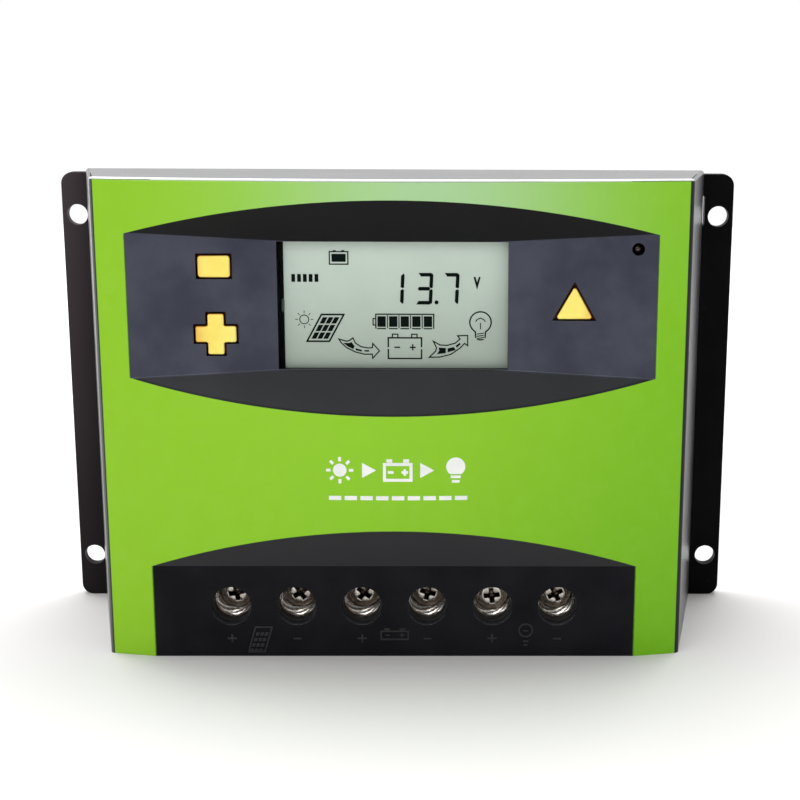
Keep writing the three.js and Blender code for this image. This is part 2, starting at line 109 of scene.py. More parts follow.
# ---------------------------------------------------------------- node helpers
class Nodes:
    """A material and short ways to add nodes to it."""

    def __init__(self, name):
        self.mat = bpy.data.materials.new(name)
        self.mat.use_nodes = True
        self.tree = self.mat.node_tree
        self.bsdf = self.tree.nodes["Principled BSDF"]
        self.coords = self.tree.nodes.new("ShaderNodeTexCoord").outputs["Object"]

    def add(self, kind, **settings):
        node = self.tree.nodes.new(kind)
        for key, value in settings.items():
            setattr(node, key, value)
        return node

    def link(self, a, b):
        self.tree.links.new(a, b)

    def feed(self, socket, value):
        if hasattr(value, "node"):
            self.link(value, socket)
        else:
            socket.default_value = value

    def math(self, op, a, b=0.0, c=None):
        node = self.add("ShaderNodeMath", operation=op)
        self.feed(node.inputs[0], a)
        self.feed(node.inputs[1], b)
        if c is not None:
            self.feed(node.inputs[2], c)
        return node.outputs[0]

    def times(self, first, *others):
        """Product of numbers and sockets, taken from left to right."""
        for other in others:
            first = self.math("MULTIPLY", first, other)
        return first

    def minus(self, a, b):
        return self.math("SUBTRACT", a, b)

    def radius(self, a, b):
        return self.math("SQRT", self.math("ADD", self.times(a, a), self.times(b, b)))

    def linear(self, value, lo, hi, out_lo=0.0, out_hi=1.0, kind="LINEAR"):
        """Value moved from lo..hi to out_lo..out_hi and held at its ends."""
        node = self.add("ShaderNodeMapRange", interpolation_type=kind, clamp=True)
        for socket, v in zip(node.inputs, (value, lo, hi, out_lo, out_hi)):
            self.feed(socket, v)
        return node.outputs[0]

    def ramp(self, value, lo, hi):
        return self.linear(value, lo, hi, kind="SMOOTHSTEP")

    def noise(self, scale, detail=2.0, rough=0.5, vector=None):
        node = self.add("ShaderNodeTexNoise")
        self.link(vector or self.coords, node.inputs["Vector"])
        node.inputs["Scale"].default_value = scale
        node.inputs["Detail"].default_value = detail
        node.inputs["Roughness"].default_value = rough
        return node.outputs["Fac"]

    def stretched(self, scale):
        node = self.add("ShaderNodeMapping")
        self.link(self.coords, node.inputs["Vector"])
        node.inputs["Scale"].default_value = scale
        return node.outputs["Vector"]

    def mix(self, fac, a, b):
        node = self.add("ShaderNodeMix", data_type="RGBA")
        self.feed(node.inputs["Factor"], fac)
        for socket, colour in ((node.inputs[6], a), (node.inputs[7], b)):
            if hasattr(colour, "node"):
                self.link(colour, socket)
            else:
                socket.default_value = (*colour, 1.0)
        return node.outputs[2]

    def bump(self, height, strength, distance, normal=None):
        node = self.add("ShaderNodeBump")
        self.link(height, node.inputs["Height"])
        node.inputs["Strength"].default_value = strength
        node.inputs["Distance"].default_value = distance
        if normal is not None:
            self.link(normal, node.inputs["Normal"])
        return node.outputs["Normal"]

    def set(self, **values):
        for key, value in values.items():
            self.feed(self.bsdf.inputs[key.replace("_", " ")], value)

    def xyz(self):
        node = self.add("ShaderNodeSeparateXYZ")
        self.link(self.coords, node.inputs[0])
        return node.outputs


def plain(name, dark, light, rough, grain=900.0, bump=0.08, **more):
    """A two-tone procedural material with fine grain in colour, roughness and bump."""
    n = Nodes(name)
    cloud = n.noise(grain * 0.12, 3.0)
    fine = n.noise(grain, 2.0)
    n.set(Base_Color=n.mix(n.ramp(cloud, 0.3, 0.7), dark, light))
    n.set(Roughness=n.linear(fine, 0.2, 0.8, rough[0], rough[1]))
    n.set(Normal=n.bump(fine, bump, 0.00004))
    n.set(**more)
    return n.mat


# ---------------------------------------------------------------- mesh helpers
def placed(name, data):
    obj = bpy.data.objects.new(name, data)
    bpy.context.scene.collection.objects.link(obj)
    return obj


def finish_mesh(mesh, angle=30.0):
    mesh.shade_smooth()
    mesh.set_sharp_from_angle(angle=math.radians(angle))
    return mesh


def link(name, mesh, material, body=CASE, angle=30.0):
    obj = placed(name, finish_mesh(mesh, angle))
    for m in material if isinstance(material, (list, tuple)) else [material]:
        obj.data.materials.append(m)
    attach(obj, body)
    return obj


def cleaned(mesh, weld=0.0, fill=False):
    """The mesh with near points welded, open ends filled and faces pointing outwards."""
    bm = bmesh.new()
    bm.from_mesh(mesh)
    if weld:
        bmesh.ops.remove_doubles(bm, verts=bm.verts, dist=weld)
    if fill:
        bmesh.ops.holes_fill(bm, edges=bm.edges, sides=0)
    bmesh.ops.recalc_face_normals(bm, faces=bm.faces)
    bm.to_mesh(mesh)
    bm.free()
    return mesh


def mesh_of(verts, faces):
    mesh = bpy.data.meshes.new("shape")
    mesh.from_pydata([tuple(c * MM for c in v) for v in verts], [], faces)
    mesh.update()
    return cleaned(mesh)


def loft(rings):
    """Solid through rings of equal length, capped at both ends."""
    n = len(rings[0])
    verts = [v for ring in rings for v in ring]
    faces = []
    for r in range(len(rings) - 1):
        for i in range(n):
            j = (i + 1) % n
            faces.append((r * n + i, r * n + j, (r + 1) * n + j, (r + 1) * n + i))
    faces.append(tuple(reversed(range(n))))
    faces.append(tuple((len(rings) - 1) * n + i for i in range(n)))
    return mesh_of(verts, faces)


def upright(outline, z0, z1):
    return loft([[(x, y_of(d), z) for x, d in outline] for z in (z0, z1)])


def sideways(outline, x0, x1):
    return loft([[(x, y_of(d), z) for d, z in outline] for x in (x0, x1)])


def forwards(outline, near, far):
    return loft([[(x, y_of(d), z) for x, z in outline] for d in (near, far)])


def circle(cx, cz, radius, steps=64):
    return [
        (cx + radius * math.cos(2 * math.pi * i / steps), cz + radius * math.sin(2 * math.pi * i / steps))
        for i in range(steps)
    ]


def rod(x, z, diameter, near, far, steps=72):
    return forwards(circle(x, z, diameter / 2, steps), near, far)


def riser(x, depth, diameter, z0, z1, steps=56):
    return upright(circle(x, depth, diameter / 2, steps), z0, z1)


def spun(columns):
    """Solid through equal columns of points set round an axis."""
    steps, count = len(columns), len(columns[0])
    faces = []
    for i in range(steps):
        j = (i + 1) % steps
        for k in range(count - 1):
            faces.append((i * count + k, j * count + k, j * count + k + 1, i * count + k + 1))
    return cleaned(mesh_of([v for column in columns for v in column], faces), JOIN, fill=True)


def turned(profile, x, z, steps=64):
    """Solid of revolution about a forward axis; profile in (radius, depth), closed on the axis."""
    columns = []
    for i in range(steps):
        a = 2 * math.pi * i / steps
        columns.append([(x + r * math.cos(a), y_of(d), z + r * math.sin(a)) for r, d in profile])
    return spun(columns)


def scratch(mesh):
    return placed("scratch", mesh)


def baked(obj):
    graph = bpy.context.evaluated_depsgraph_get()
    mesh = bpy.data.meshes.new_from_object(obj.evaluated_get(graph))
    bpy.data.objects.remove(obj, do_unlink=True)
    return mesh


def combine(base, tools, operation="DIFFERENCE"):
    """Boolean of one mesh with several, in order."""
    obj = scratch(base)
    cutters = []
    for tool in tools:
        cutter = scratch(tool)
        cutters.append(cutter)
        mod = obj.modifiers.new("cut", "BOOLEAN")
        mod.operation = operation
        mod.solver = "EXACT"
        mod.object = cutter
    mesh = baked(obj)
    for cutter in cutters:
        bpy.data.objects.remove(cutter, do_unlink=True)
    return mesh


def joined(meshes):
    bm = bmesh.new()
    for mesh in meshes:
        bm.from_mesh(mesh)
    out = bpy.data.meshes.new("joined")
    bm.to_mesh(out)
    bm.free()
    return out


def sheet_of(loops, near, far, edge=0.0, segments=2):
    """Flat piece facing forwards from outlines in (x, z), holes included, with rounded edges."""
    curve = bpy.data.curves.new("outline", "CURVE")
    curve.dimensions = "2D"
    curve.fill_mode = "BOTH"
    for loop in loops:
        spline = curve.splines.new("POLY")
        spline.points.add(len(loop) - 1)
        for point, (x, z) in zip(spline.points, loop):
            point.co = (x * MM, z * MM, 0, 1)
        spline.use_cyclic_u = True
    half = (far - near) / 2
    curve.extrude = (half - edge) * MM
    curve.bevel_depth = edge * MM
    curve.bevel_resolution = segments
    curve.offset = -edge * MM
    mesh = baked(scratch(curve))
    place = Matrix(((1, 0, 0, 0), (0, 0, -1, y_of((near + far) / 2) * MM), (0, 1, 0, 0), (0, 0, 0, 1)))
    mesh.transform(place)
    return cleaned(mesh, JOIN)


def rounded(points, radius, steps=6):
    """Outline with every corner rounded."""
    out = []
    n = len(points)
    for i, p in enumerate(points):
        here = Vector(p)
        a = Vector(points[i - 1]) - here
        b = Vector(points[(i + 1) % n]) - here
        turn = a.angle(b)
        back = min(radius / math.tan(turn / 2), 0.45 * min(a.length, b.length))
        r = back * math.tan(turn / 2)
        a.normalize()
        b.normalize()
        start, end = here + a * back, here + b * back
        centre = here + (a + b).normalized() * (r / math.sin(turn / 2))
        u, v = start - centre, end - centre
        sweep = u.angle(v)
        sign = 1 if u.x * v.y - u.y * v.x > 0 else -1
        for k in range(steps + 1):
            t = sign * sweep * k / steps
            c, s = math.cos(t), math.sin(t)
            out.append((centre.x + u.x * c - u.y * s, centre.y + u.x * s + u.y * c))
    return out


def box_outline(cx, cz, w, h):
    w, h = w / 2, h / 2
    return [(cx - w, cz - h), (cx + w, cz - h), (cx + w, cz + h), (cx - w, cz + h)]


def grown(points, margin):
    """Counter-clockwise polygon moved outwards by an even margin."""
    out = []
    n = len(points)
    for i, p in enumerate(points):
        u = (Vector(p) - Vector(points[i - 1])).normalized()
        v = (Vector(points[(i + 1) % n]) - Vector(p)).normalized()
        normal = Vector((u.y + v.y, -u.x - v.x)) * (margin / (1 + u.dot(v)))
        out.append((p[0] + normal.x, p[1] + normal.y))
    return out


def cross_outline(cx, cz, w, h, arm):
    a, w, h = arm / 2, w / 2, h / 2
    quarter = [(a, -h), (a, -a), (w, -a), (w, a), (a, a), (a, h)]
    points = quarter + [(-x, -z) for x, z in quarter]
    return [(cx + x, cz + z) for x, z in points]


MINUS_OUTLINE = box_outline(*MINUS)
PLUS_OUTLINE = cross_outline(*PLUS)
ARROW_OUTLINE = [
    (ARROW[0] - ARROW[3] / 2, ARROW[1]),
    (ARROW[0] + ARROW[3] / 2, ARROW[1]),
    (ARROW[0], ARROW[2]),
]

# ---------------------------------------------------------------- camera
CAMERA_AT = (0.01516, -0.41696, 0.16200)
CAMERA_YAW = 0.0116
CAMERA_PITCH = 0.2286
CAMERA_ROLL = 0.0046
CAMERA_SENSOR = 36.0
CAMERA_FOCAL = 70.83765
CAMERA_SHIFT = -0.0875


def make_camera():
    data = bpy.data.cameras.new("camera")
    data.sensor_width = CAMERA_SENSOR
    data.lens = CAMERA_FOCAL
    data.shift_x = CAMERA_SHIFT
    data.clip_start = 0.01
    data.clip_end = 20.0
    cam = placed("camera", data)
    forward = Vector((
        math.sin(CAMERA_YAW) * math.cos(CAMERA_PITCH),
        math.cos(CAMERA_YAW) * math.cos(CAMERA_PITCH),
        -math.sin(CAMERA_PITCH),
    ))
    right = Vector((math.cos(CAMERA_YAW), -math.sin(CAMERA_YAW), 0.0))
    up = right.cross(forward)
    c, s = math.cos(CAMERA_ROLL), math.sin(CAMERA_ROLL)
    right, up = right * c + up * s, up * c - right * s
    cam.matrix_world = Matrix((
        (right.x, up.x, -forward.x, CAMERA_AT[0]),
        (right.y, up.y, -forward.y, CAMERA_AT[1]),
        (right.z, up.z, -forward.z, CAMERA_AT[2]),
        (0, 0, 0, 1),
    ))
    bpy.context.scene.camera = cam


make_camera()
bpy.context.scene.view_settings.view_transform = "Standard"

# ---------------------------------------------------------------- materials
BLACK = (0.0075, 0.0072, 0.009)
CHARCOAL = (0.016, 0.016, 0.021)


def wing_node(n, wide):
    """Depth of the display panel at a distance from the middle, in metres."""
    slope = (PANEL_DEPTH - WINDOW_DEPTH) / (PANEL_X - WINDOW_X)
    return n.math("MULTIPLY_ADD", n.minus(wide, WINDOW_X * MM), slope, WINDOW_DEPTH * MM)


def paint_mask(n, wide, z, proud):
    """One where the lacquer lies: on the skin, between the side edges and below the top edge."""
    fog = n.math("MULTIPLY_ADD", n.noise(900.0, 3.0, 0.7), 0.00003, -0.000015)
    spray = n.ramp(n.math("ADD", proud, fog), -0.00011, -0.00003)
    sides = n.ramp(n.math("ADD", wide, fog), (FACE_X + 0.14) * MM, (FACE_X - 0.08) * MM)
    top = n.ramp(n.math("ADD", z, fog), 0.12655, 0.12632)
    return n.times(spray, sides, top)


def painted_wall_light_shade(n, base, cloud, wide, z, depth, proud):
    """Painted light on open walls that face up, painted shade on walls that face down, and a painted bluish
    sheen on the display panel.
    """
    off_floor = n.math("ABSOLUTE", n.minus(depth, wing_node(n, wide)))
    high = n.ramp(z, 0.060, 0.070)
    panel = n.times(n.ramp(off_floor, 0.00030, 0.00010), high, n.ramp(proud, -0.00004, -0.00014))
    facing = n.add("ShaderNodeSeparateXYZ")
    n.link(n.add("ShaderNodeNewGeometry").outputs["Normal"], facing.inputs[0])
    past_window = n.ramp(depth, (WINDOW_DEPTH + 0.05) * MM, (WINDOW_DEPTH + 0.25) * MM)
    open_wall = n.times(past_window, n.ramp(proud, -0.0002, -0.0006))
    # Painted light: open recess walls that face up are lighter, standing in for light from above.
    painted_upward_light = n.times(n.ramp(facing.outputs[2], 0.15, 0.5), open_wall, 0.62)
    base = n.mix(painted_upward_light, base, n.mix(cloud, (0.022, 0.026, 0.030), (0.034, 0.038, 0.042)))
    # Painted shade on walls that face down: near black up at the display, and lighter low down at the
    # terminal recess as painted light.
    under = n.mix(high, (0.034, 0.033, 0.037), (0.0018, 0.0016, 0.0022))
    base = n.mix(n.times(n.ramp(facing.outputs[2], -0.15, -0.5), 0.8), base, under)
    # Painted sheen on the display panel: a bluish reflection painted into its colour.
    painted_panel_sheen = n.mix(n.ramp(cloud, 0.3, 0.7), (0.034, 0.037, 0.058), (0.058, 0.063, 0.088))
    return n.mix(panel, base, painted_panel_sheen)


def specks(n, base):
    """A few pale dust specks."""
    cells = n.add("ShaderNodeTexVoronoi")
    n.link(n.coords, cells.inputs["Vector"])
    cells.inputs["Scale"].default_value = 95.0
    split = n.add("ShaderNodeSeparateColor")
    n.link(cells.outputs["Color"], split.inputs[0])
    dust = n.times(n.ramp(cells.outputs["Distance"], 0.013, 0.006), n.ramp(split.outputs[0], 0.80, 0.82))
    return n.mix(n.times(dust, 0.55), base, (0.45, 0.46, 0.45))


def green_with_painted_light(n, x, z):
    """Green with painted light: lightest left of the middle, painted shade to the lower right, and a painted
    glare at the top middle.
    """
    # Painted light across the face: lightest left of the middle, deeper green to the right.
    green = n.mix(n.linear(x, -0.070, -0.010), (0.252, 0.535, 0.012), (0.285, 0.605, 0.019))
    green = n.mix(n.linear(x, 0.015, 0.075), green, (0.215, 0.520, 0.008))
    # Painted shade: darker towards the lower right.
    corner = n.times(n.linear(x, -0.075, 0.075), n.linear(z, 0.125, 0.0), 0.75)
    green = n.mix(corner, green, (0.140, 0.425, 0.003))
    # Painted glare: a pale highlight at the top middle.
    off = n.math("DIVIDE", n.minus(x, 0.009), 0.036)
    fall = n.math("EXPONENT", n.times(off, off, -1.0))
    painted_glare = n.times(fall, n.ramp(z, 0.090, 0.116), 0.44)
    green = n.mix(painted_glare, green, (0.52, 0.64, 0.70))
    tone = n.noise(220.0, 5.0, 0.6)
    return n.mix(n.times(n.ramp(tone, 0.35, 0.75), 0.07), green, (0.38, 0.66, 0.12))


def cover_material(name, specular, dark, light, rough=(0.40, 0.52), add_wall_light_shade=True):
    """Black moulded plastic, its front sprayed green."""
    n = Nodes(name)
    x, y, z = n.xyz()
    wide = n.math("ABSOLUTE", x)
    depth = n.minus(PLATE_FRONT * MM, y)
    root = n.math("SQRT", n.minus((BULGE_R * MM) ** 2, n.times(x, x)))
    proud = n.minus(depth, n.math("ADD", root, (APEX - BULGE_R) * MM))
    paint = paint_mask(n, wide, z, proud)
    cloud = n.noise(60.0, 4.0, 0.6)
    grain = n.noise(3800.0, 2.0, 0.6)
    base = n.mix(n.ramp(cloud, 0.3, 0.7), dark, light)
    # Painted light and shade on the recess walls, and a painted sheen on the display panel.
    if add_wall_light_shade:
        base = painted_wall_light_shade(n, base, cloud, wide, z, depth, proud)
    colour = n.mix(paint, specks(n, base), green_with_painted_light(n, x, z))
    rim = n.times(paint, n.minus(1.0, paint), 3.0)
    colour = n.mix(rim, colour, (0.055, 0.15, 0.035))
    peel = n.noise(420.0, 2.0)
    blend = n.add("ShaderNodeMix", data_type="FLOAT")
    n.link(paint, blend.inputs[0])
    n.link(n.linear(grain, 0.25, 0.75, *rough), blend.inputs[2])
    n.link(n.linear(peel, 0.3, 0.7, 0.30, 0.37), blend.inputs[3])
    n.set(Base_Color=colour, Roughness=blend.outputs[0], Specular_IOR_Level=specular)
    n.set(Normal=n.bump(peel, 0.05, 0.00004, n.bump(grain, 0.16, 0.00003)))
    return n.mat


# Copies of one plastic whose colours differ as painted light: the recess walls and the terminal face darker
# as painted shade, the outer sides lighter as painted sheen, the top front edge and up-facing edge rounds
# light grey as painted highlights.
COVER = cover_material("cover_front", 0.22, BLACK, CHARCOAL)
RECESS_SHADE = cover_material("cover_recess_painted_shade", 0.20, (0.0050, 0.0048, 0.0060), (0.0100, 0.0098, 0.0125))
OUTSIDE_SHEEN = cover_material("cover_outside_painted_sheen", 0.80, (0.030, 0.030, 0.034), (0.048, 0.048, 0.054), (0.26, 0.36))
BRIM_HIGHLIGHT = cover_material("cover_brim_painted_highlight", 0.50, (0.50, 0.50, 0.53), (0.64, 0.64, 0.67), (0.20, 0.30), add_wall_light_shade=False)
EDGE = cover_material("cover_edges_painted_highlight", 0.50, (0.20, 0.21, 0.23), (0.32, 0.33, 0.36), (0.25, 0.35), add_wall_light_shade=False)
TERMINAL = cover_material("terminal_face_painted_shade", 0.06, (0.0058, 0.0056, 0.0076), (0.0105, 0.0100, 0.0132))


def metal(name, dark, light, rough, rings=False):
    """Plated metal with turning marks or fine scratches and a few stains."""
    n = Nodes(name)
    stain = n.noise(700.0, 4.0, 0.65)
    colour = n.mix(n.ramp(stain, 0.35, 0.72), dark, light)
    if rings:
        x, y, z = n.xyz()
        radius = n.radius(x, z)
        # A darker brown tint inside the sunk cross of each screw.
        sunk = n.ramp(y, (PLATE_FRONT + 0.12) * MM, (PLATE_FRONT + 0.5) * MM)
        sunk_tint = n.times(sunk, n.ramp(radius, 0.0027, 0.0025))
        colour = n.mix(n.times(sunk_tint, 0.9), colour, (0.075, 0.045, 0.030))
        marks = n.math("SINE", n.times(radius, 42000.0))
        fine = n.math("MULTIPLY_ADD", marks, 0.35, n.noise(2600.0, 3.0))
    else:
        fine = n.noise(1.0, 3.0, 0.6, n.stretched((900.0, 5200.0, 900.0)))
    n.set(Base_Color=colour, Metallic=1.0, Roughness=n.linear(fine, 0.2, 0.8, rough[0], rough[1]))
    n.set(Normal=n.bump(fine, 0.12, 0.00003))
    return n.mat


NICKEL = metal("nickel_plate", (0.72, 0.66, 0.60), (0.93, 0.90, 0.87), (0.16, 0.30))
ZINC = metal("zinc_steel", (0.52, 0.46, 0.41), (0.78, 0.74, 0.69), (0.14, 0.30), rings=True)
REAR_ZINC = metal("zinc_rear", (0.42, 0.41, 0.39), (0.66, 0.65, 0.62), (0.22, 0.38))
SHELL = plain("dark_plastic", (0.008, 0.008, 0.010), (0.016, 0.016, 0.019), (0.32, 0.46),
              grain=3200.0, bump=0.14)
MARKS = plain("mark_plastic", (0.006, 0.006, 0.007), (0.010, 0.010, 0.012), (0.30, 0.42),
              grain=3200.0, bump=0.10)
FOAM = plain("gasket_foam", (0.0015, 0.0015, 0.0018), (0.006, 0.006, 0.007), (0.85, 0.98),
             grain=2600.0, bump=0.5, Specular_IOR_Level=0.08)
EPOXY = plain("epoxy", (0.010, 0.010, 0.011), (0.022, 0.021, 0.022), (0.45, 0.62), grain=2600.0, bump=0.12)
PAD = plain("thermal_pad", (0.22, 0.25, 0.30), (0.32, 0.35, 0.40), (0.75, 0.9), grain=1500.0, bump=0.2)
SLEEVE = plain("capacitor_sleeve", (0.012, 0.020, 0.055), (0.020, 0.032, 0.085), (0.25, 0.36), grain=700.0)
FUSE = plain("fuse_plastic", (0.55, 0.20, 0.025), (0.68, 0.29, 0.045), (0.24, 0.36), grain=800.0,
             Transmission_Weight=0.15)
DIFFUSER = plain("diffuser", (0.70, 0.72, 0.72), (0.82, 0.83, 0.82), (0.45, 0.6), grain=1400.0)
SWITCH = plain("switch_plastic", (0.010, 0.010, 0.012), (0.024, 0.023, 0.024), (0.40, 0.55), grain=2400.0)


def plate_material():
    """Black anodised aluminium: fine matt grain, faint rolling lines, a few pale scuffs, and painted light
    along the left edge.
    """
    n = Nodes("anodised_black")
    rolled = n.noise(1.0, 4.0, 0.65, n.stretched((6000.0, 900.0, 120.0)))
    grain = n.noise(3000.0, 3.0)
    cloud = n.noise(45.0, 4.0, 0.6)
    colour = n.mix(n.ramp(cloud, 0.3, 0.72), (0.0018, 0.0015, 0.0019), (0.0042, 0.0036, 0.0042))
    x, _, z = n.xyz()
    # Painted light: a lighter strip along the left edge, stronger towards the top.
    painted_left_light = n.times(n.ramp(x, -0.078, -0.096), n.linear(z, 0.0, 0.12, 0.25, 1.0))
    colour = n.mix(painted_left_light, colour, (0.060, 0.048, 0.053))
    scuff = n.times(n.ramp(n.noise(330.0, 6.0, 0.75), 0.66, 0.74), 0.25)
    n.set(Base_Color=n.mix(scuff, colour, (0.055, 0.052, 0.052)), Metallic=0.0, Specular_IOR_Level=0.04)
    mixed = n.math("MULTIPLY_ADD", rolled, 0.5, n.times(grain, 0.5))
    n.set(Roughness=n.linear(mixed, 0.3, 0.7, 0.36, 0.52))
    n.set(Normal=n.bump(mixed, 0.14, 0.00003))
    return n.mat


PLATE = plate_material()


def board_material():
    n = Nodes("circuit_board")
    x, _, z = n.xyz()
    weave = n.times(n.math("SINE", n.times(x, 5200.0)), n.math("SINE", n.times(z, 5200.0)))
    brick = n.add("ShaderNodeTexBrick")
    n.link(n.stretched((1.0, 1.0, 1.0)), brick.inputs["Vector"])
    brick.inputs["Scale"].default_value = 120.0
    brick.inputs["Mortar Size"].default_value = 0.012
    track = n.ramp(n.noise(160.0, 2.0), 0.52, 0.56)
    colour = n.mix(track, (0.010, 0.085, 0.030), (0.022, 0.150, 0.055))
    n.set(Base_Color=n.mix(n.times(brick.outputs["Fac"], 0.4), colour, (0.12, 0.20, 0.06)))
    n.set(Roughness=n.linear(weave, -1.0, 1.0, 0.28, 0.40))
    n.set(Normal=n.bump(weave, 0.06, 0.00003))
    return n.mat


BOARD = board_material()


def button_material():
    """Translucent orange-yellow plastic, with painted shade: a deeper, darker orange where it drops into its
    opening.
    """
    n = Nodes("button_plastic")
    x, y, _ = n.xyz()
    proud = n.minus(n.minus(PLATE_FRONT * MM, y), wing_node(n, n.math("ABSOLUTE", x)))
    face = n.ramp(proud, 0.00012, 0.00047)
    cloud = n.ramp(n.noise(170.0, 3.0), 0.3, 0.7)
    top = n.mix(cloud, (0.97, 0.75, 0.130), (1.0, 0.86, 0.185))
    # Painted shade: the sides turn deep, dark orange as they drop into the opening.
    side = n.mix(n.ramp(proud, -0.0006, 0.0002), (0.16, 0.030, 0.002), (0.60, 0.20, 0.008))
    fine = n.noise(2400.0, 2.0)
    n.set(Base_Color=n.mix(face, side, top), Roughness=n.linear(fine, 0.2, 0.8, 0.42, 0.52))
    n.set(Subsurface_Weight=0.15, Subsurface_Scale=0.0008, Subsurface_Radius=(1.0, 0.55, 0.10))
    n.set(Normal=n.bump(fine, 0.06, 0.00003))
    return n.mat


BUTTON = button_material()


def screen_material():
    """Reflective display glass: grey-green, lighter towards the top as painted light, under a smooth coat."""
    n = Nodes("display_glass")
    x, _, z = n.xyz()
    # Painted light: the glass turns lighter towards the top.
    rise = n.linear(z, WINDOW_Z[0] * MM, WINDOW_Z[1] * MM)
    colour = n.mix(rise, (0.325, 0.392, 0.330), (0.590, 0.700, 0.615))
    mottle = n.ramp(n.noise(70.0, 4.0, 0.6), 0.3, 0.7)
    colour = n.mix(n.times(mottle, 0.12), colour, (0.30, 0.33, 0.30))
    speck = n.noise(2800.0, 2.0)
    n.set(Base_Color=colour, Roughness=n.linear(speck, 0.3, 0.7, 0.42, 0.5))
    n.set(Coat_Weight=0.35, Coat_Roughness=0.10)
    n.set(Normal=n.bump(speck, 0.03, 0.00002))
    return n.mat


SCREEN = screen_material()
INK = plain("display_ink", (0.0015, 0.0040, 0.0028), (0.003, 0.007, 0.005), (0.55, 0.65),
            grain=1800.0, bump=0.03, Specular_IOR_Level=0.05)
PRINT = plain("white_print", (0.80, 0.82, 0.80), (0.90, 0.91, 0.89), (0.42, 0.55), grain=1600.0, bump=0.06)
SEAL = plain("fill_seal", (0.03, 0.045, 0.030), (0.06, 0.08, 0.055), (0.3, 0.4), grain=1200.0)


def lens_material():
    """Dark tinted lens of the status light, with a warm core."""
    n = Nodes("led_lens")
    x, _, z = n.xyz()
    dx = n.minus(x, LED[0] * MM)
    dz = n.minus(z, LED[1] * MM)
    core = n.ramp(n.radius(dx, dz), 0.0011, 0.0002)
    n.set(Base_Color=n.mix(core, (0.004, 0.004, 0.005), (0.030, 0.012, 0.010)))
    n.set(Roughness=n.linear(n.noise(1500.0), 0.3, 0.7, 0.06, 0.11), Coat_Weight=0.6, Coat_Roughness=0.04)
    return n.mat


LENS = lens_material()

# ---------------------------------------------------------------- moulded cover
def tidy_edges(bm):
    """Closes slits and drops edges and points that belong to no face."""
    bmesh.ops.dissolve_degenerate(bm, edges=bm.edges, dist=JOIN)
    bmesh.ops.holes_fill(bm, edges=[e for e in bm.edges if len(e.link_faces) == 1], sides=0)
    bmesh.ops.delete(bm, geom=[e for e in bm.edges if not e.link_faces], context="EDGES")
    bmesh.ops.delete(bm, geom=[v for v in bm.verts if not v.link_faces], context="VERTS")


def bevel_where(mesh, width, test, segments=3, mark=0):
    """Rounds the edges for which test(x, depth, z, angle) is true; test works in millimetres and degrees.
    The new faces get the material number in mark."""
    bm = bmesh.new()
    bm.from_mesh(mesh)
    bmesh.ops.remove_doubles(bm, verts=bm.verts, dist=0.00002)
    bmesh.ops.dissolve_degenerate(bm, edges=bm.edges, dist=0.00002)
    picked = []
    for edge in bm.edges:
        if len(edge.link_faces) != 2:
            continue
        mid = (edge.verts[0].co + edge.verts[1].co) / 2 / MM
        angle = math.degrees(edge.calc_face_angle(0.0))
        if angle > 8.0 and test(mid.x, PLATE_FRONT - mid.y, mid.z, angle):
            picked.append(edge)
    made = bmesh.ops.bevel(bm, geom=picked, offset=width * MM, offset_type="OFFSET", segments=segments,
                           profile=0.5, affect="EDGES", clamp_overlap=True, loop_slide=True)
    for face in made["faces"]:
        face.material_index = mark
    tidy_edges(bm)
    bmesh.ops.recalc_face_normals(bm, faces=bm.faces)
    out = bpy.data.meshes.new("bevelled")
    bm.to_mesh(out)
    bm.free()
    return out


def weighted(mesh, angle=32.0):
    """Face-weighted normals, so that flats stay flat beside their rounded edges."""
    obj = scratch(finish_mesh(mesh, angle))
    mod = obj.modifiers.new("weighted", "WEIGHTED_NORMAL")
    mod.keep_sharp = True
    mod.weight = 60
    return baked(obj)


def cover_plan(inset, count=120):
    edge = [(EDGE_X - inset, EDGE_DEPTH - 0.4 * inset)]
    for a in (15, 30, 45, 60, 75):
        t = math.radians(a)
        x = FACE_X + (EDGE_X - FACE_X) * math.cos(t) - inset
        edge.append((x, EDGE_DEPTH + (bulge(FACE_X) - EDGE_DEPTH) * math.sin(t) - inset))
    k = 1 - inset / FACE_X
    front = []
    for i in range(count + 1):
        x = FACE_X - 2 * FACE_X * i / count
        front.append((x * k, bulge(x) - inset))
    mirrored = [(-x, d) for x, d in reversed(edge)]
    return [(REAR_RIGHT - inset, SEAT), *edge, *front, *mirrored, (inset - REAR_LEFT, SEAT)]


def cover_outer():
    slope = (TOP_FRONT - TOP_REAR) / APEX
    rings = [[(x, y_of(d), 0.0) for x, d in cover_plan(0)]]
    steps = 6
    for k in range(steps + 1):
        t = math.pi / 2 * k / steps
        drop = EDGE_ROUND * (1 - math.sin(t))
        plan = cover_plan(EDGE_ROUND * (1 - math.cos(t)))
        rings.append([(x, y_of(d), TOP_REAR + slope * d - drop) for x, d in plan])
    return loft(rings)


def display_recess(grow):
    floor, out, far = WINDOW_DEPTH - grow, 70.0, 84.0
    up = grow * math.hypot(1, DISPLAY_TOP[1])
    low = grow * math.hypot(1, DISPLAY_LOW[1])
    side = [
        (floor, line_z(DISPLAY_LOW, floor) - low),
        (out, line_z(DISPLAY_LOW, out) - low),
        (out, line_z(DISPLAY_TOP, out) + up),
        (floor, line_z(DISPLAY_TOP, floor) + up),
    ]
    wing = floor + (PANEL_DEPTH - WINDOW_DEPTH) / (PANEL_X - WINDOW_X) * (far - WINDOW_X)
    plan = [(-far, out), (-far, wing), (-WINDOW_X, floor), (WINDOW_X, floor), (far, wing), (far, out)]
    return combine(sideways(side, -far, far), [upright(plan, 0, 200)], "INTERSECT")


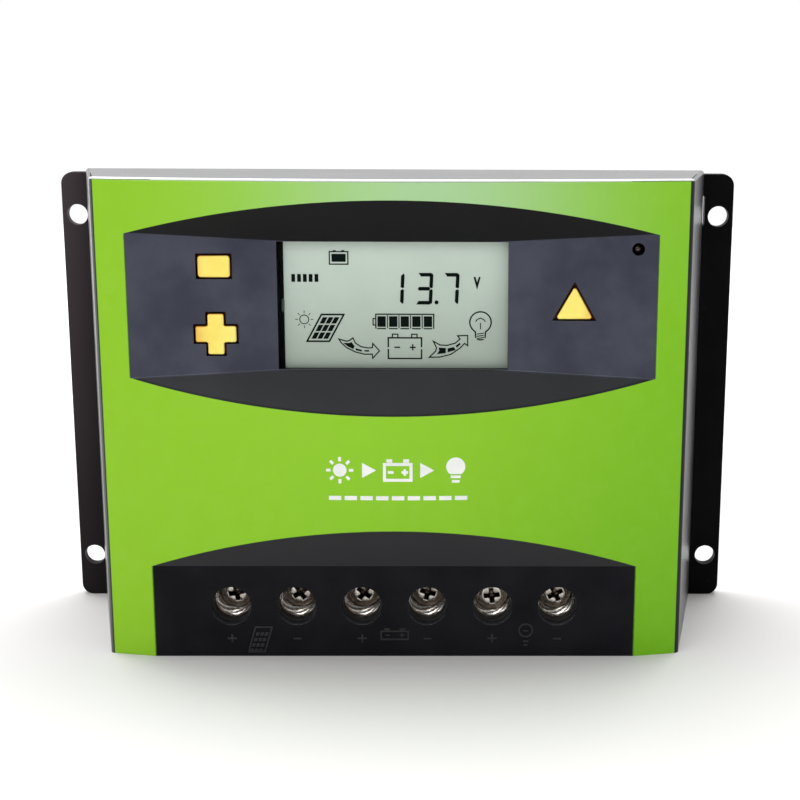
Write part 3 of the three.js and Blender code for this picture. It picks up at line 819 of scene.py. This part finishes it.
def terminal_recess(grow):
    floor, out = TERMINAL_DEPTH - grow, 70.0
    up = grow * math.hypot(1, TERMINAL_TOP[1])
    side = [(floor, -5), (out, -5)]
    side += [(depth, line_z(TERMINAL_TOP, depth) + up) for depth in (out, floor)]
    return sideways(side, -84, 84)


CASE_SCREWS = [(-77.5, 8.5), (77.5, 8.5), (-77.5, 116.5), (77.5, 116.5)]
PEGS = [(x, z) for x in (-50, 61) for z in (76, 115)]


def cover_mesh():
    inner = [(REAR_RIGHT - WALL - 0.1, -3), (EDGE_X - WALL - 0.2, EDGE_DEPTH - WALL + 0.6)]
    for i in range(41):
        x = (FACE_X - WALL - 0.2) * (1 - 2 * i / 40)
        inner.append((x, bulge(x) - WALL - 0.1))
    inner += [(-(EDGE_X - WALL - 0.2), EDGE_DEPTH - WALL + 0.6), (-(REAR_LEFT - WALL - 0.1), -3)]
    hollow = combine(upright(inner, WALL, TOP_REAR - WALL), [display_recess(WALL), terminal_recess(WALL)])
    cover = combine(cover_outer(), [hollow])
    posts = [rod(x, z, 9.0, SEAT, 48) for x, z in CASE_SCREWS]
    posts += [rod(x, z, 4.6, 37.5, 46) for x, z in PEGS]
    posts = combine(joined(posts), [upright(cover_plan(0.6), 0.6, 124.4)], "INTERSECT")
    cover = combine(cover, [posts], "UNION")
    cuts = [display_recess(0), terminal_recess(0)]
    window = box_outline(0, sum(WINDOW_Z) / 2, 2 * WINDOW_X, WINDOW_Z[1] - WINDOW_Z[0])
    holes = [forwards(window, 40, 47)]
    for outline, corner in ((MINUS_OUTLINE, 0.35), (PLUS_OUTLINE, 0.25), (ARROW_OUTLINE, 0.15)):
        holes.append(forwards(rounded(grown(outline, BUTTON_GAP), corner), 40, 52))
    holes.append(rod(LED[0], LED[1], LED[2], 40, 52, 40))
    for i in range(POST_COUNT):
        holes.append(rod(post_x(i), POST_Z, ACCESS_D, 44, 52, 72))
        holes.append(riser(post_x(i), WIRE_DEPTH, WIRE_ENTRY_D, -1, WALL + 1, 56))
    holes += [rod(x, z, 3.2, -1, 14, 32) for x, z in CASE_SCREWS]
    return combine(cover, cuts + [joined(holes)])


def cover_edge(x, depth, z, angle):
    wide = abs(x)
    if depth < 0.4:
        return angle > 30 and (wide > 84 or z > 124 or z < 0.1)
    if z < 0.1:
        return angle > 30
    if depth > 45.4 and wide < 72 and z < 122.5:
        near_holes = depth > WINDOW_DEPTH - 0.2
        return near_holes and (angle > 24 or (angle > 8 and depth > 47.0 and wide > 60))
    return False


# Places of the cover's materials in its mesh: the front, and copies of it that hold painted light (painted
# shade on the terminal face and recess walls, painted sheen on the outer sides, painted highlights on
# up-facing edge rounds and along the top front edge).
FRONT, SHADED_TERMINAL_FACE, SHADED_WALL, SHEEN_SIDE, LINE, TOP_LINE = range(6)


def cover_material_slot(face):
    """Which of the cover's materials a face takes, from its place, its slope and how it was made."""
    x, depth, z = face.center.x / MM, PLATE_FRONT - face.center.y / MM, face.center.z / MM
    # Up-facing edge rounds below the top take the light grey painted highlight.
    if face.material_index == LINE and face.normal.z > 0.25 and z < 112:
        if WINDOW_DEPTH - 0.5 < depth < bulge(x) - 0.1:
            return LINE
    # The top front rounding takes the light grey painted highlight.
    if z > 126.35 and depth > bulge(x) - 1.2 and face.normal.z > 0.2:
        return TOP_LINE
    # The terminal face takes the darker painted shade.
    if z < line_z(TERMINAL_TOP, TERMINAL_DEPTH) and abs(depth - TERMINAL_DEPTH) < 0.3:
        return SHADED_TERMINAL_FACE
    # The outer sides take the lighter painted sheen.
    if x < -FACE_X - 0.2 or x > EDGE_X or z > 126.1 or z < 0.2 or depth < 40:
        return SHEEN_SIDE
    # Recess walls take the darker painted shade.
    return SHADED_WALL if depth < bulge(x) - 0.25 else FRONT


def cover_shell():
    mesh = bevel_where(cover_mesh(), 0.28, cover_edge, 3, LINE)
    for material in (COVER, TERMINAL, RECESS_SHADE, OUTSIDE_SHEEN, EDGE, BRIM_HIGHLIGHT):
        mesh.materials.append(material)
    mesh = weighted(mesh)
    obj = link("cover_shell", mesh, [], angle=32)
    for face in mesh.polygons:
        face.material_index = cover_material_slot(face)
    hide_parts("front_cover")


cover_shell()

# ---------------------------------------------------------------- back plate
PLATE_W, PLATE_H, PLATE_R = 188.0, 124.0, 3.2
MOUNT_X, MOUNT_ZS, MOUNT_D = 89.9, (12.2, 112.2), 5.8
SLOT = (84.5, 113.8, 3.0, 8.4)
STANDOFFS = [(-62, 30), (62, 30), (-62, 70), (62, 70)]


def plate_piece():
    outline = rounded(box_outline(0, PLATE_H / 2, PLATE_W, PLATE_H), PLATE_R, 10)
    plate = forwards(outline, -PLATE_T, 0)
    plate = combine(plate, [joined([rod(x, z, 7.0, -0.5, 7.7, 40) for x, z in STANDOFFS])], "UNION")
    cuts = [rod(s * MOUNT_X, z, MOUNT_D, -4, 1, 72) for s in (-1, 1) for z in MOUNT_ZS]
    slot = rounded(box_outline(*SLOT), 0.6, 6)
    cuts.append(forwards(slot, -4, 1))
    sink = [(0, -3.4), (3.9, -3.4), (3.9, -3.0), (1.85, -0.95), (1.85, 1.0), (0, 1.0)]
    cuts += [turned(sink, x, z, 56) for x, z in CASE_SCREWS]
    cuts += [rod(x, z, 3.3, 0.5, 12, 24) for x, z in STANDOFFS]
    cuts += [rod(x, 89.8, 3.3, -2.2, 1, 24) for x in (-45, 45)]
    plate = combine(plate, [joined(cuts)])
    plate = bevel_where(plate, 0.30, lambda x, d, z, angle: angle > 40 and d < 0.2, 3)
    obj = link("plate_panel", weighted(plate), PLATE)
    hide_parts("back_plate")


plate_piece()


# ---------------------------------------------------------------- screws
def screw_cross(size, width, turn):
    c, s = math.cos(turn), math.sin(turn)
    return [(x * c - z * s, x * s + z * c) for x, z in cross_outline(0, 0, size, size, width)]


def helix(profile, pitch, steep, steps=64):
    """Turned solid whose radius follows a thread. Profile rows are (radius, depth, thread height), and steep
    is the share of the pitch that the front flank takes."""
    columns = []
    for i in range(steps):
        a = 2 * math.pi * i / steps
        column = []
        for r, d, h in profile:
            phase = (d / pitch - i / steps) % 1.0
            r = r - h * (phase / (1 - steep) if phase < 1 - steep else (1 - phase) / steep)
            column.append((r * math.cos(a), y_of(d), r * math.sin(a)))
        columns.append(column)
    return spun(columns)


def clamp_screw_mesh():
    """Set screw with its face at depth 0: chamfered crown, cross recess and a real thread."""
    length, r, face = 6.4, 4.3, 2.85
    profile = [(0, -length, 0), (r - 0.8, -length, 0), (r - 0.35, -length + 0.5, 0)]
    rows = 30
    for k in range(rows + 1):
        d = -length + 0.7 + (length - 0.7 - 1.35) * k / rows
        profile.append((r, d, 0.42 * min(1.0, 4 * k / rows, 4 * (rows - k) / rows)))
    profile += [(r, -1.3, 0), (r - 0.2, -1.15, 0)]
    crown = ((0.32, -1.05), (0.24, -0.9), (0.2, -0.3), (0.1, -0.12), (-0.1, -0.03), (-0.3, 0))
    profile += [(face + out, d, 0) for out, d in crown] + [(0, 0, 0)]
    mesh = helix(profile, 1.0, 0.5, 72)
    wings = loft([[(x, y_of(d), z) for x, z in screw_cross(size, width, 0.0)]
                  for d, size, width in ((-3.0, 2.6, 0.9), (-1.8, 3.8, 1.05), (0.6, 4.5, 1.3))])
    cone = turned([(0, -3.6), (0.9, -3.1), (1.05, -0.9), (1.15, 0.5), (0, 0.5)], 0, 0, 40)
    mesh = combine(mesh, [wings, cone])

    def cross_rim(x, depth, z, angle):
        return angle > 25 and depth > -0.12 and math.hypot(x, z) < face - 0.35

    return bevel_where(mesh, 0.10, cross_rim, 2)


def clamp_post_mesh():
    """Nickel-plated tube with a threaded bore and a wire opening below."""
    r, bore, floor = 6.6, 4.6, WIRE_DEPTH - 4.2
    profile = [(0, 14.0, 0), (r - 0.3, 14.0, 0), (r, 14.3, 0), (r, 41.5, 0), (r - 0.15, 41.85, 0),
               (r - 0.5, 42.0, 0), (bore + 0.62, 42.0, 0), (bore + 0.55, 41.93, 0)]
    rows = 96
    for k in range(rows + 1):
        d = 41.7 - (41.7 - 30.2) * k / rows
        profile.append((bore + 0.50, d, 0.50 * min(1.0, 14 * k / rows, 6 * (rows - k) / rows)))
    profile += [(bore, 29.9, 0), (bore, floor + 0.3, 0), (bore - 0.3, floor, 0), (0, floor, 0)]
    mesh = helix(profile, 1.0, 0.3, 72)
    stub = rod(0, 0, 4.2, 8.2, 15.0, 40)
    mesh = combine(mesh, [stub], "UNION")
    wire = riser(0, WIRE_DEPTH, 8.4, -POST_Z, 0, 56)
    mesh = combine(mesh, [wire])
    bm = bmesh.new()
    bm.from_mesh(mesh)
    bmesh.ops.remove_doubles(bm, verts=bm.verts, dist=WELD)
    bmesh.ops.dissolve_degenerate(bm, edges=bm.edges, dist=WELD)
    tidy_edges(bm)
    bmesh.ops.recalc_face_normals(bm, faces=bm.faces)
    bm.to_mesh(mesh)
    bm.free()
    return mesh


def terminals():
    """The six clamps share one mesh each; every screw keeps the turn it was left at."""
    post = weighted(clamp_post_mesh(), 50)
    screw = weighted(clamp_screw_mesh(), 40)
    for i in range(POST_COUNT):
        at = Vector((post_x(i) * MM, 0, POST_Z * MM))
        tube = placed(f"clamp_tube_{i + 1}", post.copy())
        tube.data.materials.append(NICKEL)
        tube.location = at
        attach(tube, CASE)
        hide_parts(f"terminal_post_{i + 1}")
        piece = placed(f"set_screw_{i + 1}", screw.copy())
        piece.data.materials.append(ZINC)
        turn = Matrix.Rotation(math.radians(-(12 + 21 * i)), 4, "Y")
        depth = Matrix.Translation((0, y_of(SCREW_DEPTHS[i]) * MM, 0))
        centre = Matrix.Translation((0, -y_of(0) * MM, 0))
        piece.matrix_world = Matrix.Translation(at) @ depth @ turn @ centre
        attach(piece, f"screw_{i + 1}")
        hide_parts(f"terminal_screw_{i + 1}")


terminals()


def housing_piece():
    half = post_x(POST_COUNT - 1) + POST_PITCH / 2 + 1
    low, high = WALL + 0.3, 24
    outline = box_outline(0, (low + high) / 2, 2 * half, high - WALL - 0.3)
    body = forwards(outline, 12, TERMINAL_DEPTH - WALL - 0.3)
    cuts = []
    seat = [(0, 11), (6.95, 11), (6.95, 42.3), (4.95, 42.3), (4.95, 47), (0, 47)]
    for i in range(POST_COUNT):
        cuts.append(turned(seat, post_x(i), POST_Z, 72))
        cuts.append(riser(post_x(i), WIRE_DEPTH, WIRE_ENTRY_D - 0.6, 0, POST_Z, 56))
    body = combine(body, cuts)
    body = bevel_where(body, 0.25, lambda x, d, z, angle: angle > 30 and (d > 45.2 or z < 2.7), 3)
    obj = link("terminal_block", weighted(body), SHELL)
    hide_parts("terminal_housing")


housing_piece()


def rear_screws():
    """Countersunk cross-head screws that hold the plate to the cover."""
    profile = [(0, -2.88), (2.9, -2.88), (3.08, -2.80), (3.08, -2.72), (1.5, -1.25), (1.45, -1.0),
               (1.45, 11), (0.7, 12.4), (0, 12.4)]
    for i, (x, z) in enumerate(CASE_SCREWS):
        wings = loft([[(x + u, y_of(d), z + v) for u, v in screw_cross(size, width, 0.3 + 0.5 * i)]
                      for d, size, width in ((-3.3, 3.9, 0.8), (-2.2, 3.0, 0.7), (-1.2, 1.4, 0.5))])
        mesh = combine(turned(profile, x, z, 56), [wings])
        mesh = bevel_where(mesh, 0.08, lambda x, d, z, angle: angle > 30 and d < -2.8, 2)
        obj = link(f"rear_screw_{i + 1}", weighted(mesh), REAR_ZINC)
        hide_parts(f"case_screw_{i + 1}")


rear_screws()


# ---------------------------------------------------------------- buttons
def button_piece(name, x, outline, stem_z, corner):
    face = wing_depth(x) + BUTTON_PROUD
    skin = wing_depth(x) - WALL
    cap = sheet_of([rounded(outline, corner, 6)], skin - 1.2, face, 0.36, 5)
    flange = sheet_of([rounded(grown(outline, 1.4), 0.4, 4)], skin - 1.6, skin - 0.3, 0.15, 2)
    stem = rod(x, stem_z, 3.2, 41.8, skin - 1, 40)
    mesh = joined([cap, flange, stem])
    obj = link(f"key_{name}", mesh, BUTTON, body=f"button_{name}", angle=38)
    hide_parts(f"button_{name}")


button_piece("minus", MINUS[0], MINUS_OUTLINE, MINUS[1], 0.75)
button_piece("plus", PLUS[0], PLUS_OUTLINE, PLUS[1], 0.5)
button_piece("load", ARROW[0], ARROW_OUTLINE, ARROW[1] + 3.6, 0.55)


# ---------------------------------------------------------------- display
GLASS_X, GLASS_Z, GLASS_DEPTH = (-28.0, 31.6), (76.2, 113.6), (41.5, 43.3)
INK_DEPTH = (43.3, 43.36)


def slab(xs, zs, depths, edge=0.2, corner=0.3):
    outline = rounded(box_outline(sum(xs) / 2, sum(zs) / 2, xs[1] - xs[0], zs[1] - zs[0]), corner, 4)
    return sheet_of([outline], depths[0], depths[1], edge, 3)


def loop_ring(points, width):
    """Closed outline stroke: its outer and inner loops."""
    return [grown(points, width / 2), grown(points, -width / 2)]


def ribbon(points, width):
    """Open stroke as one closed loop."""
    left, right = [], []
    last = len(points) - 1
    for i, p in enumerate(points):
        a = Vector(p) - Vector(points[max(i - 1, 0)])
        b = Vector(points[min(i + 1, last)]) - Vector(p)
        a = (a if a.length else b).normalized()
        b = (b if b.length else a).normalized()
        normal = Vector((a.y + b.y, -a.x - b.x)) * (width / 2 / (1 + a.dot(b)))
        left.append((p[0] + normal.x, p[1] + normal.y))
        right.append((p[0] - normal.x, p[1] - normal.y))
    return [left + right[::-1]]


def ink(shapes):
    return joined([sheet_of(loops, *INK_DEPTH) for loops in shapes])


def counter_clockwise(points):
    area = sum(a[0] * b[1] - b[0] * a[1] for a, b in zip(points, points[1:] + points[:1]))
    return points if area > 0 else points[::-1]


def rays(cx, cz, near, far, width):
    """Eight strokes round a sun."""
    shapes = []
    for k in range(8):
        c, s = math.cos(math.pi * k / 4), math.sin(math.pi * k / 4)
        shapes.append(ribbon([(cx + near * c, cz + near * s), (cx + far * c, cz + far * s)], width))
    return shapes


def bulb_arc(cx, cz, radius, half, steps):
    """Arc that reaches half degrees to each side of its top."""
    angles = [math.radians(2 * half * k / steps - half) for k in range(steps + 1)]
    return [(cx + radius * math.sin(a), cz + radius * math.cos(a)) for a in angles]


def digit(x0, lit):
    """Seven-segment figure 4.1 mm wide and 8.15 mm high, leaning a little to the right."""
    w, h, t, z0 = 4.1, 8.15, 0.92, 94.3
    m = h / 2
    bars = {
        "a": [(0.25, h), (w - 0.45, h), (w - 0.62, h - t), (0.95, h - t)],
        "b": [(w - 0.3, h - 0.12), (w - 0.02, h - 0.6), (w - 0.02, m + 0.35), (w - 0.36, m + 0.12),
              (w - t, m + 0.4), (w - t, h - 0.75)],
        "c": [(w - 0.36, m - 0.12), (w - 0.02, m - 0.4), (w - 0.02, 0.45), (w - 0.3, 0.12),
              (w - t, 0.75), (w - t, m - 0.4)],
        "d": [(0.0, 0.0), (w - 0.45, 0.0), (w - 0.72, t), (0.6, t)],
        "e": [(0.3, 0.45), (t, 0.8), (t, m - 0.4), (0.4, m - 0.12), (0.05, m - 0.35)],
        "f": [(0.4, m + 0.12), (t, m + 0.4), (t, h - 0.8), (0.3, h - 0.45), (0.05, m + 0.35)],
        "g": [(0.55, m + t / 2), (w - 1.0, m + t / 2), (w - 0.62, m), (w - 1.0, m - t / 2),
              (0.55, m - t / 2), (0.25, m)],
    }
    return [[[(x0 + x + 0.045 * (z - m), z0 + z) for x, z in bars[k]]] for k in lit]


def battery_case(xs, zs, width, bumps, rise):
    """Outline of a battery with two terminals on top, and a broken line at mid height on each side."""
    (x0, x1), (z0, z1) = xs, zs
    mid = (z0 + z1) / 2
    top = [ribbon([(x0, mid + 0.25), (x0, z1), (x1, z1), (x1, mid + 0.25)], width)]
    low = [ribbon([(x0, mid - 0.25), (x0, z0), (x1, z0), (x1, mid - 0.25)], width)]
    foot, head = z1 + width / 2 + 0.02, z1 + rise
    lugs = [ribbon([(a, foot), (a, head), (b, head), (b, foot)], width * 0.8) for a, b in bumps]
    return top + low + lugs


def status_shapes():
    """Charge symbol at the top, and plain bars under it."""
    shapes = []
    shapes.append(loop_ring(box_outline(-13.85, 106.25, 4.7, 3.2), 0.3))
    for x in (-14.95, -12.75):
        shapes.append([box_outline(x, 108.12, 0.8, 0.22)])
    shapes.append([box_outline(-13.85, 106.27, 3.6, 2.02)])
    for k in range(5):
        shapes.append([box_outline(-25.5 + 1.48 * k, 101.08, 0.95, 2.0)])
    return shapes


def reading_shapes():
    """A voltage: three figures, a point and the unit."""
    shapes = digit(-1.3, "bc") + digit(6.05, "abgcd") + digit(12.75, "abc")
    shapes.append([circle(11.08, 94.85, 0.52, 20)])
    shapes.append(ribbon([(20.8, 101.45), (21.46, 99.1), (22.12, 101.45)], 0.5))
    return shapes


def panel_shapes():
    """Sun, and a solar panel of nine cells seen at a slant."""
    shapes = [loop_ring(circle(-22.9, 90.34, 1.15, 40), 0.2)]
    shapes += rays(-22.9, 90.34, 1.62, 2.3, 0.16)
    corner, along, down = Vector((-18.46, 91.63)), Vector((5.74, 0.0)), Vector((-3.8, -7.0))
    edge = [corner, corner + down, corner + down + along, corner + along]
    shapes.append(loop_ring([tuple(p) for p in edge], 0.42))
    for i in range(3):
        for j in range(3):
            u, v = 0.13 + 0.265 * i, 0.10 + 0.285 * j
            cell = [(u, v), (u, v + 0.235), (u + 0.21, v + 0.235), (u + 0.21, v)]
            shapes.append([[tuple(corner + along * a + down * b) for a, b in cell]])
    return shapes


def gauge_shapes():
    """Battery gauge of five cells."""
    shapes = []
    x0, x1, z0, z1 = -4.52, 10.37, 87.98, 91.74
    pitch = (x1 - x0) / 5
    shapes.append(ribbon([(x0, z0), (x0, z1), (x1, z1), (x1, z0)], 0.32))
    shapes.append(ribbon([(x0 - 0.13, 90.6), (x0 - 0.7, 90.6), (x0 - 0.7, 88.92), (x0 - 0.13, 88.92)], 0.28))
    for k in range(5):
        a = x0 + pitch * k
        shapes.append([box_outline(a + pitch / 2, 89.83, 2.12, 2.75)])
        shapes.append([box_outline(a + pitch / 2, z0, pitch - 0.75, 0.3)])
        if k:
            shapes.append([box_outline(a, 89.78, 0.24, 3.4)])
    return shapes


def arrow_shapes():
    """Two swung arrows for the flow of energy, from the panel to the battery and on to the lamp."""
    first = [(-14.08, 85.24), (-13.52, 84.3), (-12.16, 83.01), (-9.87, 81.85), (-7.57, 81.26), (-5.5, 81.27),
             (-5.39, 80.21), (-3.65, 82.14), (-5.36, 84.09), (-5.48, 82.98), (-6.63, 82.91), (-8.47, 83.26),
             (-9.84, 84.19), (-10.47, 85.55), (-11.33, 84.85), (-12.14, 84.66)]
    second = [(10.25, 84.71), (11.98, 83.73), (13.82, 83.62), (15.9, 84.21), (17.16, 85.31), (16.51, 86.13),
              (19.11, 86.25), (19.12, 83.56), (18.31, 84.14), (17.05, 82.85), (14.75, 81.25), (11.98, 80.56),
              (9.21, 80.48), (10.87, 82.13), (11.06, 83.02)]
    shapes = [loop_ring(counter_clockwise(a), 0.29) for a in (first, second)]
    fills = [
        [(-12.95, 84.2), (-11.34, 84.2), (-10.85, 84.42), (-10.05, 83.37), (-10.37, 82.6), (-11.74, 83.25)],
        [(-9.8, 82.8), (-8.2, 82.42), (-8.2, 81.95), (-9.72, 82.3)],
        [(-7.52, 82.32), (-6.32, 82.32), (-6.32, 81.95), (-7.52, 81.97)],
        [(11.63, 83.02), (13.48, 82.94), (13.48, 81.6), (11.2, 81.32), (11.8, 82.25)],
        [(13.94, 82.8), (15.55, 83.2), (16.02, 82.42), (13.94, 81.8)],
        [(16.01, 83.5), (17.02, 84.3), (17.36, 84.0), (16.31, 83.0)],
    ]
    return shapes + [[counter_clockwise(f)] for f in fills]


def battery_shapes():
    """Battery between the arrows, with plain pole signs."""
    shapes = battery_case((-1.36, 7.22), (80.15, 85.58), 0.36, [(-0.28, 1.12), (4.68, 6.06)], 0.95)
    shapes.append([box_outline(0.95, 83.1, 1.5, 0.32)])
    shapes.append([cross_outline(4.95, 83.1, 1.6, 1.6, 0.32)])
    return shapes


def lamp_shapes():
    """Lamp with its filament and screw cap."""
    ring = bulb_arc(22.4, 89.68, 2.75, 140, 40)
    shapes = [ribbon([(21.2, 85.6), (21.1, 87.15), *ring, (23.7, 87.15), (23.6, 85.6)], 0.34)]
    shapes.append(ribbon([(21.1, 89.85), (21.52, 90.4), (22.38, 90.8), (23.24, 90.4), (23.66, 89.85)], 0.24))
    shapes.append([box_outline(22.4, 88.7, 0.24, 1.7)])
    for k in range(3):
        shapes.append(ribbon([(21.5, 86.6 - 0.58 * k), (23.3, 86.9 - 0.58 * k)], 0.22))
    shapes.append([counter_clockwise([(21.3, 85.28), (23.5, 85.28), (22.9, 84.95), (21.9, 84.95)])])
    return shapes


def display_shapes():
    parts = (status_shapes, reading_shapes, panel_shapes, gauge_shapes, arrow_shapes, battery_shapes,
             lamp_shapes)
    return [shape for part in parts for shape in part()]


def display():
    glass = link("display_glass", slab(GLASS_X, GLASS_Z, GLASS_DEPTH), SCREEN)
    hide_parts("lcd_glass")
    link("display_ink", ink(display_shapes()), INK)
    outer = rounded(box_outline(1.7, 94.8, 61.6, 39.4), 0.4, 4)
    wide, tall = GLASS_X[1] - GLASS_X[0] + 0.1, GLASS_Z[1] - GLASS_Z[0] + 0.1
    inner = box_outline(sum(GLASS_X) / 2, sum(GLASS_Z) / 2, wide, tall)
    link("display_gasket", sheet_of([outer, inner], 41.4, 43.2, 0.1), FOAM)
    seal = rounded([(-28.62, 92.2), (-27.85, 92.6), (-27.85, 95.4), (-28.62, 95.8)], 0.2, 4)
    link("display_seal", sheet_of([seal], 42.6, 43.42, 0.12), SEAL)


display()


# ---------------------------------------------------------------- status light
def status_light():
    profile = [(0, 37.5), (1.9, 37.5), (1.9, 38.6), (1.45, 38.6), (1.45, 44.5)]
    for k in range(1, 9):
        t = math.pi / 2 * k / 8
        profile.append((1.45 * math.cos(t), 44.5 + 1.45 * math.sin(t)))
    obj = link("light_lens", turned(profile, LED[0], LED[1], 48), LENS, angle=50)
    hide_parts("status_led")


status_light()


# ---------------------------------------------------------------- raised terminal marks
def relief(shapes):
    return joined([sheet_of(loops, TERMINAL_DEPTH - 0.15, TERMINAL_DEPTH + 0.2, 0.09, 2) for loops in shapes])


def terminal_marks():
    shapes = []
    for i in range(POST_COUNT):
        x = post_x(i)
        if i % 2:
            shapes.append([box_outline(x, 5.0, 2.1, 0.5)])
        else:
            shapes.append([cross_outline(x, 5.05, 2.4, 2.3, 0.5)])
    top, low = 8.2, 1.2
    frame_points = [(-38.95, low), (-34.6, low), (-32.6, top), (-36.95, top)]
    shapes.append([grown(frame_points, 0.2), grown(frame_points, -0.2)])
    for j in range(4):
        z = 6.68 - 1.54 * j
        left = -36.8 - (6.68 - z) * 0.36
        for i in range(3):
            x = left + 1.16 * i
            shapes.append([[(x - 0.22, z - 0.95), (x + 0.62, z - 0.95), (x + 0.92, z), (x + 0.08, z)]])
    shapes.append(loop_ring(box_outline(0, 5.9, 7.2, 2.3), 0.42))
    for x in (-2.1, 2.0):
        shapes.append([box_outline(x, 7.6, 1.5, 0.55)])
    shapes.append([box_outline(-1.9, 5.95, 1.2, 0.36)])
    shapes.append([cross_outline(1.9, 5.95, 1.2, 1.2, 0.36)])
    shapes.append(loop_ring(circle(34.85, 7.3, 1.78, 40), 0.4))
    shapes.append([box_outline(34.85, 7.2, 1.3, 0.35)])
    for k, w in enumerate((1.4, 1.0)):
        shapes.append([box_outline(34.85, 4.2 - 1.05 * k, w, 0.5)])
    link("terminal_marks", relief(shapes), MARKS)


terminal_marks()


# ---------------------------------------------------------------- printed symbols on the bulge
def wrapped(mesh):
    for v in mesh.vertices:
        v.co.y -= (bulge(v.co.x / MM) - APEX) * MM
    return mesh


def printed_symbols():
    """Plain symbols for sun, battery and lamp over a thin rule."""
    shapes = []
    z = 53.0
    sun = -13.6
    shapes.append([circle(sun, z, 1.75, 40)])
    shapes += rays(sun, z, 2.35, 3.5, 0.75)
    for x in (-6.2, 8.7):
        shapes.append([counter_clockwise([(x - 1.7, z + 2.0), (x + 1.9, z), (x - 1.7, z - 2.0)])])
    shapes.append([box_outline(1.25, z - 0.5, 7.6, 5.0), box_outline(1.25, z - 0.5, 6.0, 3.4)])
    shapes += [[box_outline(x, z + 2.55, 1.5, 0.9)] for x in (-0.9, 3.4)]
    shapes += [[box_outline(-0.55, z - 0.5, 1.5, 0.7)], [cross_outline(3.05, z - 0.5, 1.7, 1.7, 0.7)]]
    lamp = 16.1
    shapes.append([bulb_arc(lamp, z + 0.95, 2.45, 143, 36)])
    shapes.append([box_outline(lamp, z - 1.75, 2.6, 0.7)])
    shapes.append([box_outline(lamp, z - 2.95, 2.0, 0.7)])
    for k in range(9):
        shapes.append([box_outline(-14.9 + 4.05 * k, 45.6, 3.2, 1.1)])
    sheets = [sheet_of([counter_clockwise(p) for p in loops], APEX - 0.05, APEX + 0.03) for loops in shapes]
    link("printed_symbols", wrapped(joined(sheets)), PRINT)


printed_symbols()

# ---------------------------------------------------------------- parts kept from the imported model
KEPT = {
    "clamp_pad_": NICKEL, "power_board": BOARD, "face_board": BOARD, "board_screw_": REAR_ZINC,
    "bar_screw_": REAR_ZINC, "thermal_pad": PAD, "mosfet_bar": PLATE, "mosfet_": EPOXY,
    "capacitor_": SLEEVE, "fuse_": FUSE, "control_chip": EPOXY,
    "board_link": SHELL, "lcd_backlight": DIFFUSER, "switch_": SWITCH,
}
for name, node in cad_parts.items():
    for key, material in KEPT.items():
        if name.startswith(key):
            node.data.materials.clear()
            node.data.materials.append(material)
            break


# ---------------------------------------------------------------- studio
def floor_material():
    n = Nodes("paper_floor")
    x, y, _ = n.xyz()
    away = n.radius(x, y)
    fibre = n.noise(900.0, 4.0)
    cloud = n.noise(3.0, 3.0)
    # Painted to even out the overhead lamp's pool of light: darker near the object and white farther out.
    near = n.mix(n.ramp(cloud, 0.2, 0.8), (0.575, 0.57, 0.565), (0.60, 0.595, 0.59))
    n.set(Base_Color=n.mix(n.ramp(away, 0.20, 0.75), near, (0.97, 0.97, 0.97)))
    n.set(Roughness=n.linear(fibre, 0.2, 0.8, 0.75, 0.9), Specular_IOR_Level=0.15)
    n.set(Normal=n.bump(fibre, 0.05, 0.00005))
    return n.mat


def make_floor():
    half = 0.95
    corners = [(x, z, 0) for x, z in box_outline(0, 0, 2 * half, 2 * half)]
    mesh = bpy.data.meshes.new("floor")
    mesh.from_pydata(corners, [], [(0, 1, 2, 3)])
    mesh.update()
    obj = placed("floor", mesh)
    mesh.materials.append(floor_material())


def area_light(name, at, aim, size, power):
    data = bpy.data.lights.new(name, "AREA")
    data.shape = "RECTANGLE"
    data.size, data.size_y = size
    data.energy = power
    obj = placed(name, data)
    obj.location = at
    obj.rotation_mode = "QUATERNION"
    obj.rotation_quaternion = (Vector(aim) - Vector(at)).to_track_quat("-Z", "Y")


def make_world():
    """White surround, darker towards the room in front of the object."""
    world = bpy.data.worlds.new("studio")
    world.use_nodes = True
    tree = world.node_tree
    back = tree.nodes["Background"]
    coords = tree.nodes.new("ShaderNodeTexCoord")
    split = tree.nodes.new("ShaderNodeSeparateXYZ")
    tree.links.new(coords.outputs["Generated"], split.inputs[0])
    front = tree.nodes.new("ShaderNodeMapRange")
    front.interpolation_type = "SMOOTHSTEP"
    for socket, value in zip(front.inputs[1:5], (-0.35, -0.85, 0.0, 1.0)):
        socket.default_value = value
    tree.links.new(split.outputs[1], front.inputs[0])
    mix = tree.nodes.new("ShaderNodeMix")
    mix.data_type = "RGBA"
    mix.inputs[6].default_value = (1.0, 1.0, 1.0, 1)
    mix.inputs[7].default_value = (0.34, 0.33, 0.32, 1)
    tree.links.new(front.outputs[0], mix.inputs["Factor"])
    tree.links.new(mix.outputs[2], back.inputs["Color"])
    back.inputs["Strength"].default_value = 1.03
    bpy.context.scene.world = world


make_floor()
make_world()
area_light("overhead", (-0.03, 0.22, 0.82), (0, 0.0, 0.05), (0.9, 0.5), 9.5)
area_light("key_left", (-0.45, -0.85, 0.80), (0, 0, 0.05), (0.8, 0.8), 4.2)
area_light("side_left", (-0.85, 0.45, 0.22), (0, 0, 0.06), (0.4, 0.5), 3.3)

bpy.context.view_layer.update()
